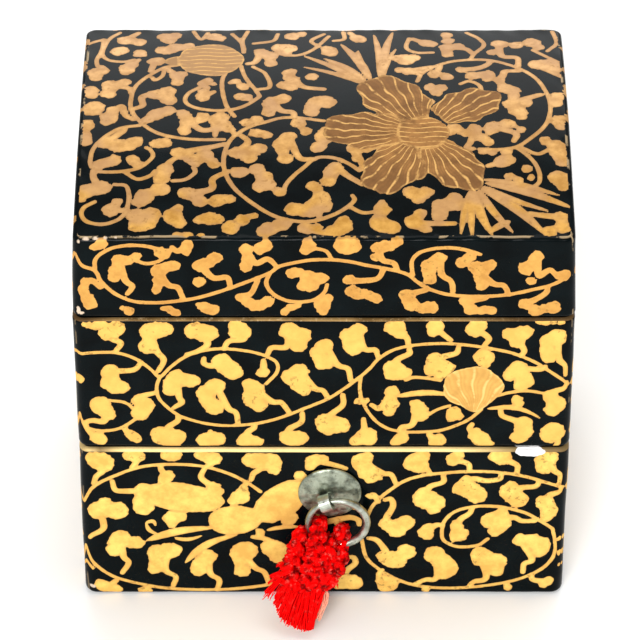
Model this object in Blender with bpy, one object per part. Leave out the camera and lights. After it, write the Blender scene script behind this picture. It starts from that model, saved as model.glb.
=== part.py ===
"""Small lacquered box of two stacked tiers under a lid, with a ring pull and a silk tassel.

Metres, +Z up. The origin is the centre of the base tier's underside, and the front faces -Y.
"""

import math

import bmesh
import bpy
from mathutils import Matrix, Vector

# Outer size of the stack
WIDTH = 0.100
DEPTH = 0.070
BASE_HEIGHT = 0.0406
MIDDLE_HEIGHT = 0.0341
LID_WALL_HEIGHT = 0.0206
LID_CROWN = 0.0026
LID_TAPER = 0.0007

# Walls and edges
WALL = 0.0040
FLOOR = 0.0035
LID_TOP = 0.0035
CORNER_RADIUS = 0.0020
INNER_CORNER_RADIUS = 0.0015
FOOT_ROUND = 0.0016
FOOT_CORNER_RADIUS = 0.0034
FOOT_CORNER_HEIGHT = 0.0060
RIM_CHAMFER = 0.0006
LOWER_EDGE_ROUND = 0.0004
CREASE_ROUND = 0.0009

# How one piece seats in the one below
SEAT_DEPTH = 0.0020
LID_LIP = 0.0015
FIT = 0.0003
SEAM = 0.0003

# Ring pull on the front of the base tier
PLATE_X = 0.0012
PLATE_Z = 0.0292
PLATE_RADIUS = 0.0065
PLATE_EDGE = 0.0004
PLATE_DOME = 0.0009
SHANK_RADIUS = 0.0009
SHANK_LENGTH = 0.0027
SHANK_CLEARANCE = 0.0003
EYE_SHIFT_X = -0.00075
EYE_SHIFT_Z = -0.0003
EYE_WIDTH = 0.0024
EYE_STRIP = 0.0006
EYE_CLEARANCE = 0.00045
EYE_TURN_DEG = 23.0
WIRE = 0.0016
RING_RADIUS = 0.0060

# Tassel, looped round the ring and lying out to the surface in front
TASSEL_LOOP_WIDTH = 0.0078
TASSEL_KNOT_WIDTH = 0.0128
TASSEL_NECK_WIDTH = 0.0098
TASSEL_TIP_WIDTH = 0.0044
TASSEL_THICKNESS = 0.0046
TASSEL_REACH = 0.0125
TASSEL_FLOOR_GAP = 0.0004
TASSEL_WIRE_GAP = 0.0003

# Facets
CORNER_STEPS = 5
ROUND_STEPS = 3
CROWN_STEPS = 14
RING_STEPS = 44
WIRE_SIDES = 12
PLATE_STEPS = 40
TASSEL_SIDES = 18

# Worked out from the sizes above
HALF_X = WIDTH / 2
HALF_Y = DEPTH / 2
CAVITY_X = HALF_X - WALL
CAVITY_Y = HALF_Y - WALL
BASE_TOP = BASE_HEIGHT
MIDDLE_BOTTOM = BASE_TOP + SEAM
MIDDLE_TOP = MIDDLE_BOTTOM + MIDDLE_HEIGHT
LID_BOTTOM = MIDDLE_TOP + SEAM
CREASE_Z = LID_BOTTOM + LID_WALL_HEIGHT
FRONT_Y = -HALF_Y
PLATE_BACK_Y = FRONT_Y - SEAM
EYE_INNER = WIRE / 2 + EYE_CLEARANCE
EYE_OUTER = EYE_INNER + EYE_STRIP
EYE_Y = PLATE_BACK_Y - PLATE_DOME - SEAM - EYE_OUTER
EYE_CENTRE = Vector((PLATE_X + EYE_SHIFT_X, EYE_Y, PLATE_Z + EYE_SHIFT_Z))
EYE_TURN = math.radians(EYE_TURN_DEG)
HANG = Vector((math.sin(EYE_TURN), 0.0, -math.cos(EYE_TURN)))
RING_CENTRE = EYE_CENTRE + HANG * RING_RADIUS


def clear_scene():
    for item in list(bpy.data.objects):
        bpy.data.objects.remove(item, do_unlink=True)


def material(name, colour, roughness, metallic):
    made = bpy.data.materials.new(name)
    made.use_nodes = True
    shader = made.node_tree.nodes["Principled BSDF"]
    shader.inputs["Base Color"].default_value = (*colour, 1.0)
    shader.inputs["Roughness"].default_value = roughness
    shader.inputs["Metallic"].default_value = metallic
    return made


def finish(bm, name, skin, smooth_angle=35.0):
    """Close the mesh, point its faces outward and put it in the scene as one object."""
    bmesh.ops.recalc_face_normals(bm, faces=bm.faces)
    mesh = bpy.data.meshes.new(name)
    bm.to_mesh(mesh)
    bm.free()
    mesh.shade_smooth()
    mesh.set_sharp_from_angle(angle=math.radians(smooth_angle))
    item = bpy.data.objects.new(name, mesh)
    bpy.context.scene.collection.objects.link(item)
    if skin:
        mesh.materials.append(skin)
    return item


def cut_or_join(item, tool, operation):
    """Boolean with a tool object that stays in the scene as a hidden guide."""
    tool.hide_render = True
    tool.display_type = "WIRE"
    step = item.modifiers.new(tool.name, "BOOLEAN")
    step.operation = operation
    step.solver = "EXACT"
    step.object = tool


def closed_loop(bm, points):
    corners = [bm.verts.new(point) for point in points]
    return [bm.edges.new((corners[i - 1], corners[i])) for i in range(len(corners))]


def rounded_rectangle(half_x, half_y, radius, z):
    """Points of a rectangle with round corners, the same number whatever its size."""
    points = []
    for corner in range(4):
        sign_x = 1 if corner in (0, 3) else -1
        sign_y = 1 if corner in (0, 1) else -1
        for step in range(CORNER_STEPS + 1):
            angle = math.pi / 2 * (corner + step / CORNER_STEPS)
            points.append((sign_x * (half_x - radius) + radius * math.cos(angle),
                           sign_y * (half_y - radius) + radius * math.sin(angle), z))
    return points


def loft(rings):
    """Skin a row of closed loops, point to point, and cap the first and the last one."""
    bm = bmesh.new()
    loops = [[bm.verts.new(point) for point in ring] for ring in rings]
    for lower, upper in zip(loops, loops[1:]):
        for i in range(len(lower)):
            bm.faces.new((lower[i - 1], lower[i], upper[i], upper[i - 1]))
    for end in (loops[0], loops[-1]):
        bm.faces.new(end)
    return bm


def wall_ring(inset, z, radius=CORNER_RADIUS):
    return rounded_rectangle(HALF_X - inset, HALF_Y - inset, radius, z)


def cavity_ring(inset, z):
    return rounded_rectangle(CAVITY_X - inset, CAVITY_Y - inset, INNER_CORNER_RADIUS, z)


def rim_rings(top):
    """From the inside of an open tier over its chamfered rim to its outer wall."""
    return [cavity_ring(0, top), wall_ring(RIM_CHAMFER, top, CORNER_RADIUS - RIM_CHAMFER),
            wall_ring(0, top - RIM_CHAMFER)]


def lower_edge_rings(bottom):
    """The slightly rounded lower edge of a piece that stands on another."""
    soft = LOWER_EDGE_ROUND
    return [wall_ring(0, bottom + soft), wall_ring(soft, bottom, CORNER_RADIUS - soft)]


def base_tier(skin):
    rings = [cavity_ring(0, FLOOR)] + rim_rings(BASE_TOP) + [wall_ring(0, FOOT_CORNER_HEIGHT)]
    for step in range(ROUND_STEPS + 1):
        angle = math.pi / 2 * step / ROUND_STEPS
        inset = FOOT_ROUND * (1 - math.cos(angle))
        rings.append(wall_ring(inset, FOOT_ROUND * (1 - math.sin(angle)), FOOT_CORNER_RADIUS - inset))
    tier = finish(loft(rings), "base_tier", skin)

    drill = bmesh.new()
    depth = SHANK_LENGTH + SHANK_CLEARANCE
    radius = SHANK_RADIUS + SHANK_CLEARANCE
    bmesh.ops.create_cone(drill, cap_ends=True, segments=16, radius1=radius, radius2=radius, depth=2 * depth)
    bmesh.ops.rotate(drill, verts=drill.verts, matrix=Matrix.Rotation(math.pi / 2, 3, "X"))
    bmesh.ops.translate(drill, verts=drill.verts, vec=(PLATE_X, FRONT_Y, PLATE_Z))
    cut_or_join(tier, finish(drill, "shank_hole", None), "DIFFERENCE")


def middle_tier(skin):
    underside = MIDDLE_BOTTOM - SEAT_DEPTH
    rings = [cavity_ring(0, underside + FLOOR)] + rim_rings(MIDDLE_TOP) + lower_edge_rings(MIDDLE_BOTTOM)
    rings += [cavity_ring(FIT, MIDDLE_BOTTOM), cavity_ring(FIT, underside)]
    finish(loft(rings), "middle_tier", skin)


def crown_height(y):
    """Height of the lid's shallow arch above its front and back edges."""
    half = HALF_Y - LID_TAPER
    arch_radius = (half ** 2 + LID_CROWN ** 2) / (2 * LID_CROWN)
    reach = min(abs(y), half)
    return math.sqrt(arch_radius ** 2 - reach ** 2) - (arch_radius - LID_CROWN)


def lid(skin):
    inner = FIT + LID_LIP
    ceiling = CREASE_Z - LID_TOP
    lip_end = LID_BOTTOM - SEAT_DEPTH
    rings = [cavity_ring(inner, ceiling), cavity_ring(inner, lip_end), cavity_ring(FIT, lip_end),
             cavity_ring(FIT, LID_BOTTOM)]
    rings += list(reversed(lower_edge_rings(LID_BOTTOM)))
    for step in range(ROUND_STEPS + 1):
        angle = math.pi / 2 * step / ROUND_STEPS
        inset = CREASE_ROUND * (1 - math.cos(angle))
        rings.append(wall_ring(LID_TAPER + inset, CREASE_Z - CREASE_ROUND * (1 - math.sin(angle)),
                               CORNER_RADIUS - inset))
    bm = loft(rings)
    for step in range(1, CROWN_STEPS):
        cut_y = CAVITY_Y * (2 * step / CROWN_STEPS - 1)
        bmesh.ops.bisect_plane(bm, geom=bm.verts[:] + bm.edges[:] + bm.faces[:],
                               plane_co=(0, cut_y, 0), plane_no=(0, 1, 0))
    arched_from = ceiling - LID_TOP / 2
    for vert in bm.verts:
        if vert.co.z > arched_from:
            vert.co.z += crown_height(vert.co.y)
    finish(bm, "lid", skin)


def ring_plate(skin):
    """Slightly domed round plate with a hole for the shank of the eye."""
    hole = SHANK_RADIUS + SHANK_CLEARANCE
    profile = [(hole, 0.0), (PLATE_RADIUS, 0.0), (PLATE_RADIUS, PLATE_EDGE)]
    for step in range(1, ROUND_STEPS + 1):
        share = step / ROUND_STEPS
        radius = PLATE_RADIUS + (hole - PLATE_RADIUS) * share
        profile.append((radius, PLATE_EDGE + (PLATE_DOME - PLATE_EDGE) * math.sin(math.pi / 2 * share)))
    bm = bmesh.new()
    edges = closed_loop(bm, [(PLATE_X + radius, PLATE_BACK_Y - height, PLATE_Z) for radius, height in profile])
    spin_round(bm, edges, (PLATE_X, 0, PLATE_Z), (0, 1, 0), PLATE_STEPS)
    finish(bm, "ring_plate", skin)


def spin_round(bm, edges, centre, axis, steps):
    corners = list({corner for edge in edges for corner in edge.verts})
    bmesh.ops.spin(bm, geom=corners + edges, cent=centre, axis=axis, dvec=(0, 0, 0),
                   angle=2 * math.pi, steps=steps, use_merge=True)
    bmesh.ops.remove_doubles(bm, verts=bm.verts, dist=1e-7)


def ring_eye(skin):
    """Folded metal strip: a band round the ring's wire, on a shank through the plate."""
    bm = bmesh.new()
    half = EYE_WIDTH / 2
    section = [(-half, EYE_INNER), (half, EYE_INNER), (half, EYE_OUTER), (-half, EYE_OUTER)]
    edges = closed_loop(bm, [(x, 0, z) for x, z in section])
    spin_round(bm, edges, (0, 0, 0), (1, 0, 0), 24)
    bmesh.ops.rotate(bm, verts=bm.verts, matrix=Matrix.Rotation(-EYE_TURN, 3, "Y"))
    bmesh.ops.translate(bm, verts=bm.verts, vec=EYE_CENTRE)
    eye = finish(bm, "ring_eye", skin)

    shank = bmesh.new()
    start = EYE_Y + EYE_INNER + EYE_STRIP / 2
    end = FRONT_Y + SHANK_LENGTH
    bmesh.ops.create_cone(shank, cap_ends=True, segments=16, radius1=SHANK_RADIUS, radius2=SHANK_RADIUS,
                          depth=end - start)
    bmesh.ops.rotate(shank, verts=shank.verts, matrix=Matrix.Rotation(math.pi / 2, 3, "X"))
    bmesh.ops.translate(shank, verts=shank.verts, vec=(PLATE_X, (start + end) / 2, PLATE_Z))
    cut_or_join(eye, finish(shank, "eye_shank", None), "UNION")


def wire_ring(name, thickness, skin, parent):
    """Ring in the plane of the wall, modelled round its own centre and hung on the hinge empty."""
    bm = bmesh.new()
    circle = bmesh.ops.create_circle(bm, segments=WIRE_SIDES, radius=thickness / 2)
    bmesh.ops.translate(bm, verts=circle["verts"], vec=(RING_RADIUS, 0, 0))
    spin_round(bm, bm.edges[:], (0, 0, 0), (0, 1, 0), RING_STEPS)
    bmesh.ops.translate(bm, verts=bm.verts, vec=HANG * RING_RADIUS)
    ring = finish(bm, name, skin)
    ring.parent = parent
    return ring


def tassel_sections():
    """Centre, width and thickness of the tassel from its loops in the ring down to its tip."""
    wire_x = RING_CENTRE.x - RING_RADIUS * math.sin(math.radians(52))
    wire_z = RING_CENTRE.z - RING_RADIUS * math.cos(math.radians(52))
    top = Vector((RING_CENTRE.x - 0.0013, EYE_Y, RING_CENTRE.z + 0.0022))
    wire = Vector((wire_x + 0.0016, EYE_Y - 0.0004, wire_z))
    tip_z = TASSEL_THICKNESS / 4 + TASSEL_FLOOR_GAP
    tip = Vector((wire.x - 0.0040, FRONT_Y - TASSEL_REACH, tip_z))
    knot = wire.lerp(tip, 0.34) + Vector((-0.0006, 0.0, 0.0))
    neck = wire.lerp(tip, 0.58)
    skirt = wire.lerp(tip, 0.82) + Vector((-0.0006, 0.0, 0.0))
    thick = TASSEL_THICKNESS
    return [(top, 0.45 * TASSEL_LOOP_WIDTH, 0.50 * thick), (top.lerp(wire, 0.22), TASSEL_LOOP_WIDTH, 0.9 * thick),
            (wire, 0.92 * TASSEL_KNOT_WIDTH, 1.05 * thick), (knot, TASSEL_KNOT_WIDTH, 1.15 * thick),
            (neck, TASSEL_NECK_WIDTH, 0.85 * thick), (skirt, TASSEL_NECK_WIDTH, 0.75 * thick),
            (tip, TASSEL_TIP_WIDTH, 0.50 * thick)]


def tassel(skin, parent):
    sections = tassel_sections()
    rings = []
    for number, (centre, width, thickness) in enumerate(sections):
        before = sections[max(number - 1, 0)][0]
        after = sections[min(number + 1, len(sections) - 1)][0]
        along = (after - before).normalized()
        out = Vector((1, 0, 0)).cross(along).normalized()
        across = along.cross(out)
        turns = [2 * math.pi * side / TASSEL_SIDES for side in range(TASSEL_SIDES)]
        rings.append([centre - EYE_CENTRE + across * (width / 2 * math.cos(turn))
                      + out * (thickness / 2 * math.sin(turn)) for turn in turns])
    item = finish(loft(rings), "tassel", skin)
    item.parent = parent
    channel = wire_ring("tassel_channel", WIRE + 2 * TASSEL_WIRE_GAP, None, parent)
    cut_or_join(item, channel, "DIFFERENCE")


def hinge():
    """Empty on the axis of the eye, which the ring and its tassel swing about."""
    pivot = bpy.data.objects.new("ring_hinge", None)
    pivot.location = EYE_CENTRE
    bpy.context.scene.collection.objects.link(pivot)
    return pivot


def build():
    clear_scene()
    lacquer = material("black_lacquer", (0.012, 0.014, 0.018), 0.25, 0.0)
    metal = material("aged_metal", (0.36, 0.37, 0.35), 0.45, 1.0)
    silk = material("red_silk", (0.80, 0.01, 0.01), 0.65, 0.0)
    base_tier(lacquer)
    middle_tier(lacquer)
    lid(lacquer)
    ring_plate(metal)
    ring_eye(metal)
    pivot = hinge()
    wire_ring("pull_ring", WIRE, metal, pivot)
    tassel(silk, pivot)


build()
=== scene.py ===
# %% [markdown]
# # A small lacquered box of stacked tiers
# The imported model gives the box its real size: two open tiers, a lid, a ring pull and a tassel.
# This script dresses it. The black lacquer and its gold scroll are painted on fine shells that
# take the place of the plain solids, and the tassel is made again from cords and threads.

# %% Load the frame
import math
import random

import bmesh
import bpy
import numpy as np
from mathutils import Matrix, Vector, noise


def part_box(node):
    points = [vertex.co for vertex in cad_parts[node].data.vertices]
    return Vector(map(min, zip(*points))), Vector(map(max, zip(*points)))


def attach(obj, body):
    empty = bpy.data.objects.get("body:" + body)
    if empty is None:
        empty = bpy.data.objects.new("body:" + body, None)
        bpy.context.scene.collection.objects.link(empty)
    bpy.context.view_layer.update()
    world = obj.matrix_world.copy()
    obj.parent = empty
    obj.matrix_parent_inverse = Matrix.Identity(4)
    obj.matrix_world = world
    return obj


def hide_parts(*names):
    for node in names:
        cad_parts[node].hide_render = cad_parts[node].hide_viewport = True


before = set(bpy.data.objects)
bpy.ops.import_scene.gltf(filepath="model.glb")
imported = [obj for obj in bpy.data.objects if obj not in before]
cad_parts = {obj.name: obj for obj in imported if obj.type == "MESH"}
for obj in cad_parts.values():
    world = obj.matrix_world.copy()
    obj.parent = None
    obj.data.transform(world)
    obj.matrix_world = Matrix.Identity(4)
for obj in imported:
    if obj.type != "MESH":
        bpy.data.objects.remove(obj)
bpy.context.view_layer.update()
MM = 0.001


def add_object(name, data):
    """A new object at the origin, linked to the scene."""
    made = bpy.data.objects.new(name, data)
    bpy.context.scene.collection.objects.link(made)
    return made


def store(mesh, **fields):
    """Keep one number for each point of a mesh, under a name that a material can read."""
    for name, values in fields.items():
        mesh.attributes.new(name, "FLOAT", "POINT").data.foreach_set("value", values)


# %% [markdown]
# ## Camera
# The photo looks down on the box by 40 degrees from a long way off, so its upright edges
# converge only a little. The aim point is on the front face, near the top of the middle tier.

# %% Camera
LOOK_DOWN_DEG = 40.0
CAMERA_DISTANCE = 0.837
LENS_MM = 237.3
SENSOR_MM = 36.0
AIM = Vector((-0.0008, -0.035, 0.075))


def add_camera():
    camera = add_object("camera", bpy.data.cameras.new("camera"))
    camera.data.lens = LENS_MM
    camera.data.sensor_width = SENSOR_MM
    tilt = math.radians(LOOK_DOWN_DEG)
    camera.location = AIM + CAMERA_DISTANCE * Vector((0, -math.cos(tilt), math.sin(tilt)))
    camera.rotation_euler = (math.pi / 2 - tilt, 0, 0)
    bpy.context.scene.camera = camera
    print("camera", tuple(round(value, 3) for value in camera.location))


add_camera()

# %% [markdown]
# ## Shader arithmetic
# A material is easier to read as arithmetic than as a list of links. This small class wraps a
# socket, so that writing a + b adds a Math node.

# %% Sockets as numbers


class Paint:
    """A socket in one material's node tree, which can be used in expressions."""

    def __init__(self, tree, socket):
        self.tree = tree
        self.socket = socket

    def math(self, operation, *others, clamp=False):
        made = self.tree.nodes.new("ShaderNodeMath")
        made.operation = operation
        made.use_clamp = clamp
        for slot, value in zip(made.inputs, (self, *others)):
            plug(self.tree, slot, value)
        return Paint(self.tree, made.outputs[0])

    def __add__(self, other):
        return self.math("ADD", other)

    def __mul__(self, other):
        return self.math("MULTIPLY", other)

    def __sub__(self, other):
        return self.math("SUBTRACT", other)

    def __rsub__(self, other):
        return (self * -1.0) + other

    __radd__ = __add__
    __rmul__ = __mul__

    def most(self, other):
        return self.math("MAXIMUM", other)

    def ramp(self, low, high):
        """0 below low, 1 above high, straight between; low may be the larger one."""
        return ((self - low) * (1.0 / (high - low))).math("ADD", 0.0, clamp=True)


def plug(tree, slot, value):
    if isinstance(value, Paint):
        tree.links.new(value.socket, slot)
    elif isinstance(value, tuple) and len(value) == 3 and slot.type == "RGBA":
        slot.default_value = (*value, 1.0)
    else:
        slot.default_value = value


class Finish:
    """One material, with its Principled shader and helpers for its nodes."""

    def __init__(self, name, **uniform):
        self.material = bpy.data.materials.new(name)
        self.material.use_nodes = True
        self.tree = self.material.node_tree
        self.shader = self.tree.nodes["Principled BSDF"]
        for socket, value in uniform.items():
            plug(self.tree, self.shader.inputs[socket.replace("_", " ")], value)
        self.place = self.node("ShaderNodeTexCoord", output="Object")

    def node(self, kind, settings=None, output=0, **inputs):
        made = self.tree.nodes.new(kind)
        for key, value in (settings or {}).items():
            setattr(made, key, value)
        for key, value in inputs.items():
            plug(self.tree, made.inputs[key.replace("_", " ")], value)
        return Paint(self.tree, made.outputs[output])

    def spots(self, scale, detail=2.0, roughness=0.5):
        """Soft noise from 0 to 1, with scale features in a metre."""
        return self.node("ShaderNodeTexNoise", Vector=self.place, Scale=scale, Detail=detail,
                         Roughness=roughness)

    def value(self, attribute):
        return self.node("ShaderNodeAttribute", {"attribute_name": attribute}, output="Fac")

    def mix(self, share, low, high):
        made = self.tree.nodes.new("ShaderNodeMix")
        made.data_type = "RGBA"
        for index, value in ((0, share), (6, low), (7, high)):
            plug(self.tree, made.inputs[index], value)
        return Paint(self.tree, made.outputs[2])

    def feed(self, **inputs):
        for key, value in inputs.items():
            plug(self.tree, self.shader.inputs[key.replace("_", " ")], value)

    def bump(self, height, distance, strength=1.0):
        self.feed(Normal=self.node("ShaderNodeBump", Height=height, Distance=distance, Strength=strength))


# %% [markdown]
# ## Sizes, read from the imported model
# Nothing is placed by eye: the shells take their heights and widths from the solids they replace.
# The scroll is laid out in millimetres, so the working unit here is the millimetre too.

# %% Sizes in millimetres


def box_mm(node):
    return [[value / MM for value in corner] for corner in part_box(node)]


BASE, MIDDLE, LID = box_mm("base_tier"), box_mm("middle_tier"), box_mm("lid")
WIDE = BASE[1][0] - BASE[0][0]
DEEP = BASE[1][1] - BASE[0][1]
HALF = (WIDE / 2, DEEP / 2)
WALL, FLOOR, SEAT, SEAM, FIT = 4.0, 3.5, 2.0, 0.3, 0.3
CORNER, INNER_CORNER = 2.0, 1.5
BASE_TOP = BASE[1][2]
MIDDLE_BOTTOM, MIDDLE_TOP = BASE_TOP + SEAM, MIDDLE[1][2]
LID_BOTTOM, LID_PEAK = MIDDLE_TOP + SEAM, LID[1][2]
CROWN = 2.6
CREASE = LID_PEAK - CROWN
TAPER = 0.7
LID_LIP = 1.5
AROUND = 2 * (WIDE + DEEP)
print("wide", WIDE, "deep", DEEP, "rims", BASE_TOP, MIDDLE_TOP, "crease", CREASE)

# %% [markdown]
# ## The unrolled wall
# A wall is unrolled to a strip, as a paper wrapper would be. The distance along it starts at the
# front's left corner and runs right round the box: front, right side, back, left side.
# Every shell starts as a flat grid of quads, whose columns are bent round the corners.

# %% Bending a strip round the box
SIDES = (((0, -1), (1, 0), 0), ((1, 0), (0, 1), 1), ((0, 1), (-1, 0), 0), ((-1, 0), (0, -1), 1))


def ring_points(along, inset, radius):
    """Where points of the unrolled strip lie on a rounded rectangle, in mm."""
    along = np.mod(along, AROUND)
    inset, radius = np.broadcast_arrays(inset, radius, along)[:2]
    starts = np.array([0, WIDE, WIDE + DEEP, 2 * WIDE + DEEP])
    side = np.searchsorted(starts, along, side="right") - 1
    x = np.zeros(len(along))
    y = np.zeros(len(along))
    for number, (normal, tangent, axis) in enumerate(SIDES):
        on = side == number
        length = (WIDE, DEEP)[axis]
        reach = HALF[axis] - inset[on] - radius[on]
        out = HALF[1 - axis] - inset[on] - radius[on]
        s = along[on] - starts[number]
        straight = (s - length / 2) * reach / (length / 2 - CORNER)
        lead = np.clip((CORNER - s) / CORNER, 0, 1) * math.pi / 4
        tail = np.clip((s - length + CORNER) / CORNER, 0, 1) * math.pi / 4
        a = np.clip(straight, -reach, reach) + radius[on] * (np.sin(tail) - np.sin(lead))
        b = out + radius[on] * np.cos(lead + tail)
        x[on] = tangent[0] * a + normal[0] * b
        y[on] = tangent[1] * a + normal[1] * b
    return x, y


def corner_share(along):
    """1 on an upright edge of the box, 0 from 2 mm away."""
    gaps = [np.abs(np.mod(along - edge + AROUND / 2, AROUND) - AROUND / 2)
            for edge in (0, WIDE, WIDE + DEEP, AROUND - DEEP)]
    return np.clip(1 - np.min(gaps, axis=0) / CORNER, 0, 1)


def columns(front, side, back):
    """Column positions round the strip, closest together on the front."""
    runs = [(0, WIDE, front), (WIDE, WIDE + DEEP, side), (WIDE + DEEP, 2 * WIDE + DEEP, back),
            (2 * WIDE + DEEP, AROUND, side)]
    parts = [np.linspace(a, b, round((b - a) / step), endpoint=False) for a, b, step in runs]
    return np.concatenate(parts + [[AROUND]])


NOWHERE = -99.0


def fold(along):
    """Each side carries the front's scroll on round its corner, mirrored; the back is left out."""
    folded = np.where(along <= WIDE, along, 2 * WIDE - along)
    folded = np.where(along > WIDE + DEEP, NOWHERE, folded)
    return np.where(along > AROUND - DEEP, AROUND - along, folded)


# %% [markdown]
# ## Brush strokes as distances
# The scroll is painted by distance. For every point of a shell the script works out how far it is
# from the nearest stroke, less than nothing inside, and stores that number on the point. The
# material then turns gold where the number is below zero, which gives a crisp edge however
# coarse the grid is. A vine is a curve with a width. A leaf is a few round dabs run together,
# with a tapering tail that joins it to its vine.

# %% Strokes
FIELDS = ("gold", "petal", "fan")
FAR = 4.0


class Panel:
    """Points of a surface in its own flat coordinates, with the distance to the painting."""

    def __init__(self, u, v):
        wobble = [noise.noise(Vector((a * 0.55, b * 0.55, 3.0))) for a, b in zip(u, v)]
        fine = [noise.noise(Vector((a * 1.3, b * 1.3, 9.0))) for a, b in zip(u, v)]
        self.u, self.v = u, v
        self.shake = 0.34 * np.array(wobble) + 0.30 * np.array(fine)
        self.gold = np.full(len(u), FAR)
        self.petal = np.full(len(u), FAR)
        self.fan = np.full(len(u), 0.5)

    def near(self, points, margin):
        low, high = points.min(0) - margin, points.max(0) + margin
        return np.nonzero((self.u > low[0]) & (self.u < high[0]) & (self.v > low[1]) & (self.v < high[1]))[0]

    def stroke(self, points, radii, onto="gold"):
        """A round brush drawn along the points, its radius changing from end to end."""
        points = np.asarray(points, float)
        radii = np.broadcast_to(np.asarray(radii, float), (len(points),))
        where = self.near(points, radii.max() + 1.5)
        u, v = self.u[where], self.v[where]
        best = np.full(len(where), 9.0)
        for (a, b), (ra, rb) in zip(zip(points, points[1:]), zip(radii, radii[1:])):
            d = b - a
            t = np.clip(((u - a[0]) * d[0] + (v - a[1]) * d[1]) / max(d @ d, 1e-9), 0, 1)
            gap = np.hypot(u - a[0] - t * d[0], v - a[1] - t * d[1]) - (ra + t * (rb - ra))
            best = np.minimum(best, gap)
        self.lay(where, best + 0.18 * self.shake[where], onto)

    def dabs(self, circles, tail=(), onto="gold"):
        """A leaf: dabs of the brush run together, and the tail that it hangs by."""
        circles = np.asarray(circles, float)
        where = self.near(circles[:, :2], circles[:, 2].max() + 1.5)
        u, v = self.u[where], self.v[where]
        soft = 0.55
        total = np.zeros(len(where))
        for x, y, r in circles:
            total += np.exp(-(np.hypot(u - x, v - y) - r) / soft)
        self.lay(where, -soft * np.log(total + 1e-12) + self.shake[where] - 0.1, onto)
        if len(tail):
            root = np.array([[circles[0][0], circles[0][1]]])
            path = smooth(np.vstack([root, np.asarray(tail, float)]))
            self.stroke(path, np.linspace(0.75, 0.48, len(path)), onto)

    def lay(self, where, gap, onto):
        kept = getattr(self, onto)
        kept[where] = np.minimum(kept[where], gap)

    def store(self, mesh):
        store(mesh, **{name: getattr(self, name) for name in FIELDS})


def smooth(points, steps=8):
    """A curve through the points (Catmull-Rom), as a closely spaced row."""
    p = np.asarray(points, float)
    p = np.vstack([2 * p[0] - p[1], p, 2 * p[-1] - p[-2]])
    rows = []
    for a, b, c, d in zip(p, p[1:], p[2:], p[3:]):
        for t in np.linspace(0, 1, steps, endpoint=False):
            rows.append(0.5 * (2 * b + (c - a) * t + (2 * a - 5 * b + 4 * c - d) * t ** 2
                               + (3 * b - a - 3 * c + d) * t ** 3))
    return np.array(rows + [p[-2]])


def numbers(text):
    return [[float(n) for n in group.split()] for group in text.split(",") if group.strip()]


def layout_rows(text):
    """The rows of a layout. A row that ends with a comma goes on in the next line."""
    return text.strip().replace(",\n", ", ").splitlines()


def paint_vines(panel, text, radius):
    for line in layout_rows(text):
        panel.stroke(smooth(numbers(line)), radius)


def paint_leaves(panel, text):
    """One leaf to a line: its dabs (x y radius), a bar, and the points of its tail."""
    for line in layout_rows(text):
        dabs, _, tail = line.partition("|")
        panel.dabs(numbers(dabs), numbers(tail))


def paint_blades(panel, text, onto="gold"):
    """Grass-like blades: root, tip, sideways bend and greatest half width."""
    for line in layout_rows(text):
        (x0, y0), (x1, y1), (bend, half) = numbers(line)
        t = np.linspace(0, 1, 14)[:, None]
        a, b = np.array([x0, y0]), np.array([x1, y1])
        side = np.array([-(y1 - y0), x1 - x0]) / math.hypot(x1 - x0, y1 - y0)
        path = a + (b - a) * t + side * bend * np.sin(math.pi * t)
        panel.stroke(path, 0.12 + half * np.sin(math.pi * t[:, 0] ** 0.8) ** 0.8, onto)


# %% [markdown]
# ## The layout of the scroll
# Karakusa, the winding vine, is a traditional pattern. The layout below is drawn in
# millimetres: along from the left edge of the front, and down from the top of each band.

# %% Base tier layout
BASE_VINES = """
0.2 14.5, 3 10, 8 6.8, 13 4.7, 19 4.1, 25 4.6, 30 6.4, 34 8.9, 37 11.6
0 27, 2 31.5, 6 35.4, 12 37.8, 18 39.1, 25 39.4, 32 39, 38.5 37.9, 45 36, 50 33
59 18.3, 60.1 15.4, 62.6 12.1, 66.8 8.5, 70.9 7, 74.7 6.5, 79.7 6.1, 85.5 6.3, 91.3 7.5, 96.3 9.4, 99.6 10.6
57.8 24.7, 58.8 30, 61.3 33.3, 64.7 36, 68.8 37.9, 73.8 38.8, 79.7 38.8, 85.5 37.9, 90.5 36.5, 94.7 34,
97.2 31.2, 98.2 28.3, 98 25, 97.4 22
97.4 22, 95 20, 92.2 17.9, 88.8 16.5, 85.5 15.8, 81.3 15.8, 77.6 16.9, 75.3 19.2, 74.5 22, 74.7 25,
76.8 26.7, 79.3 27.1, 82.2 26.5, 84 24.8
0 31.4, 1.8 33.2
"""
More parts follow.
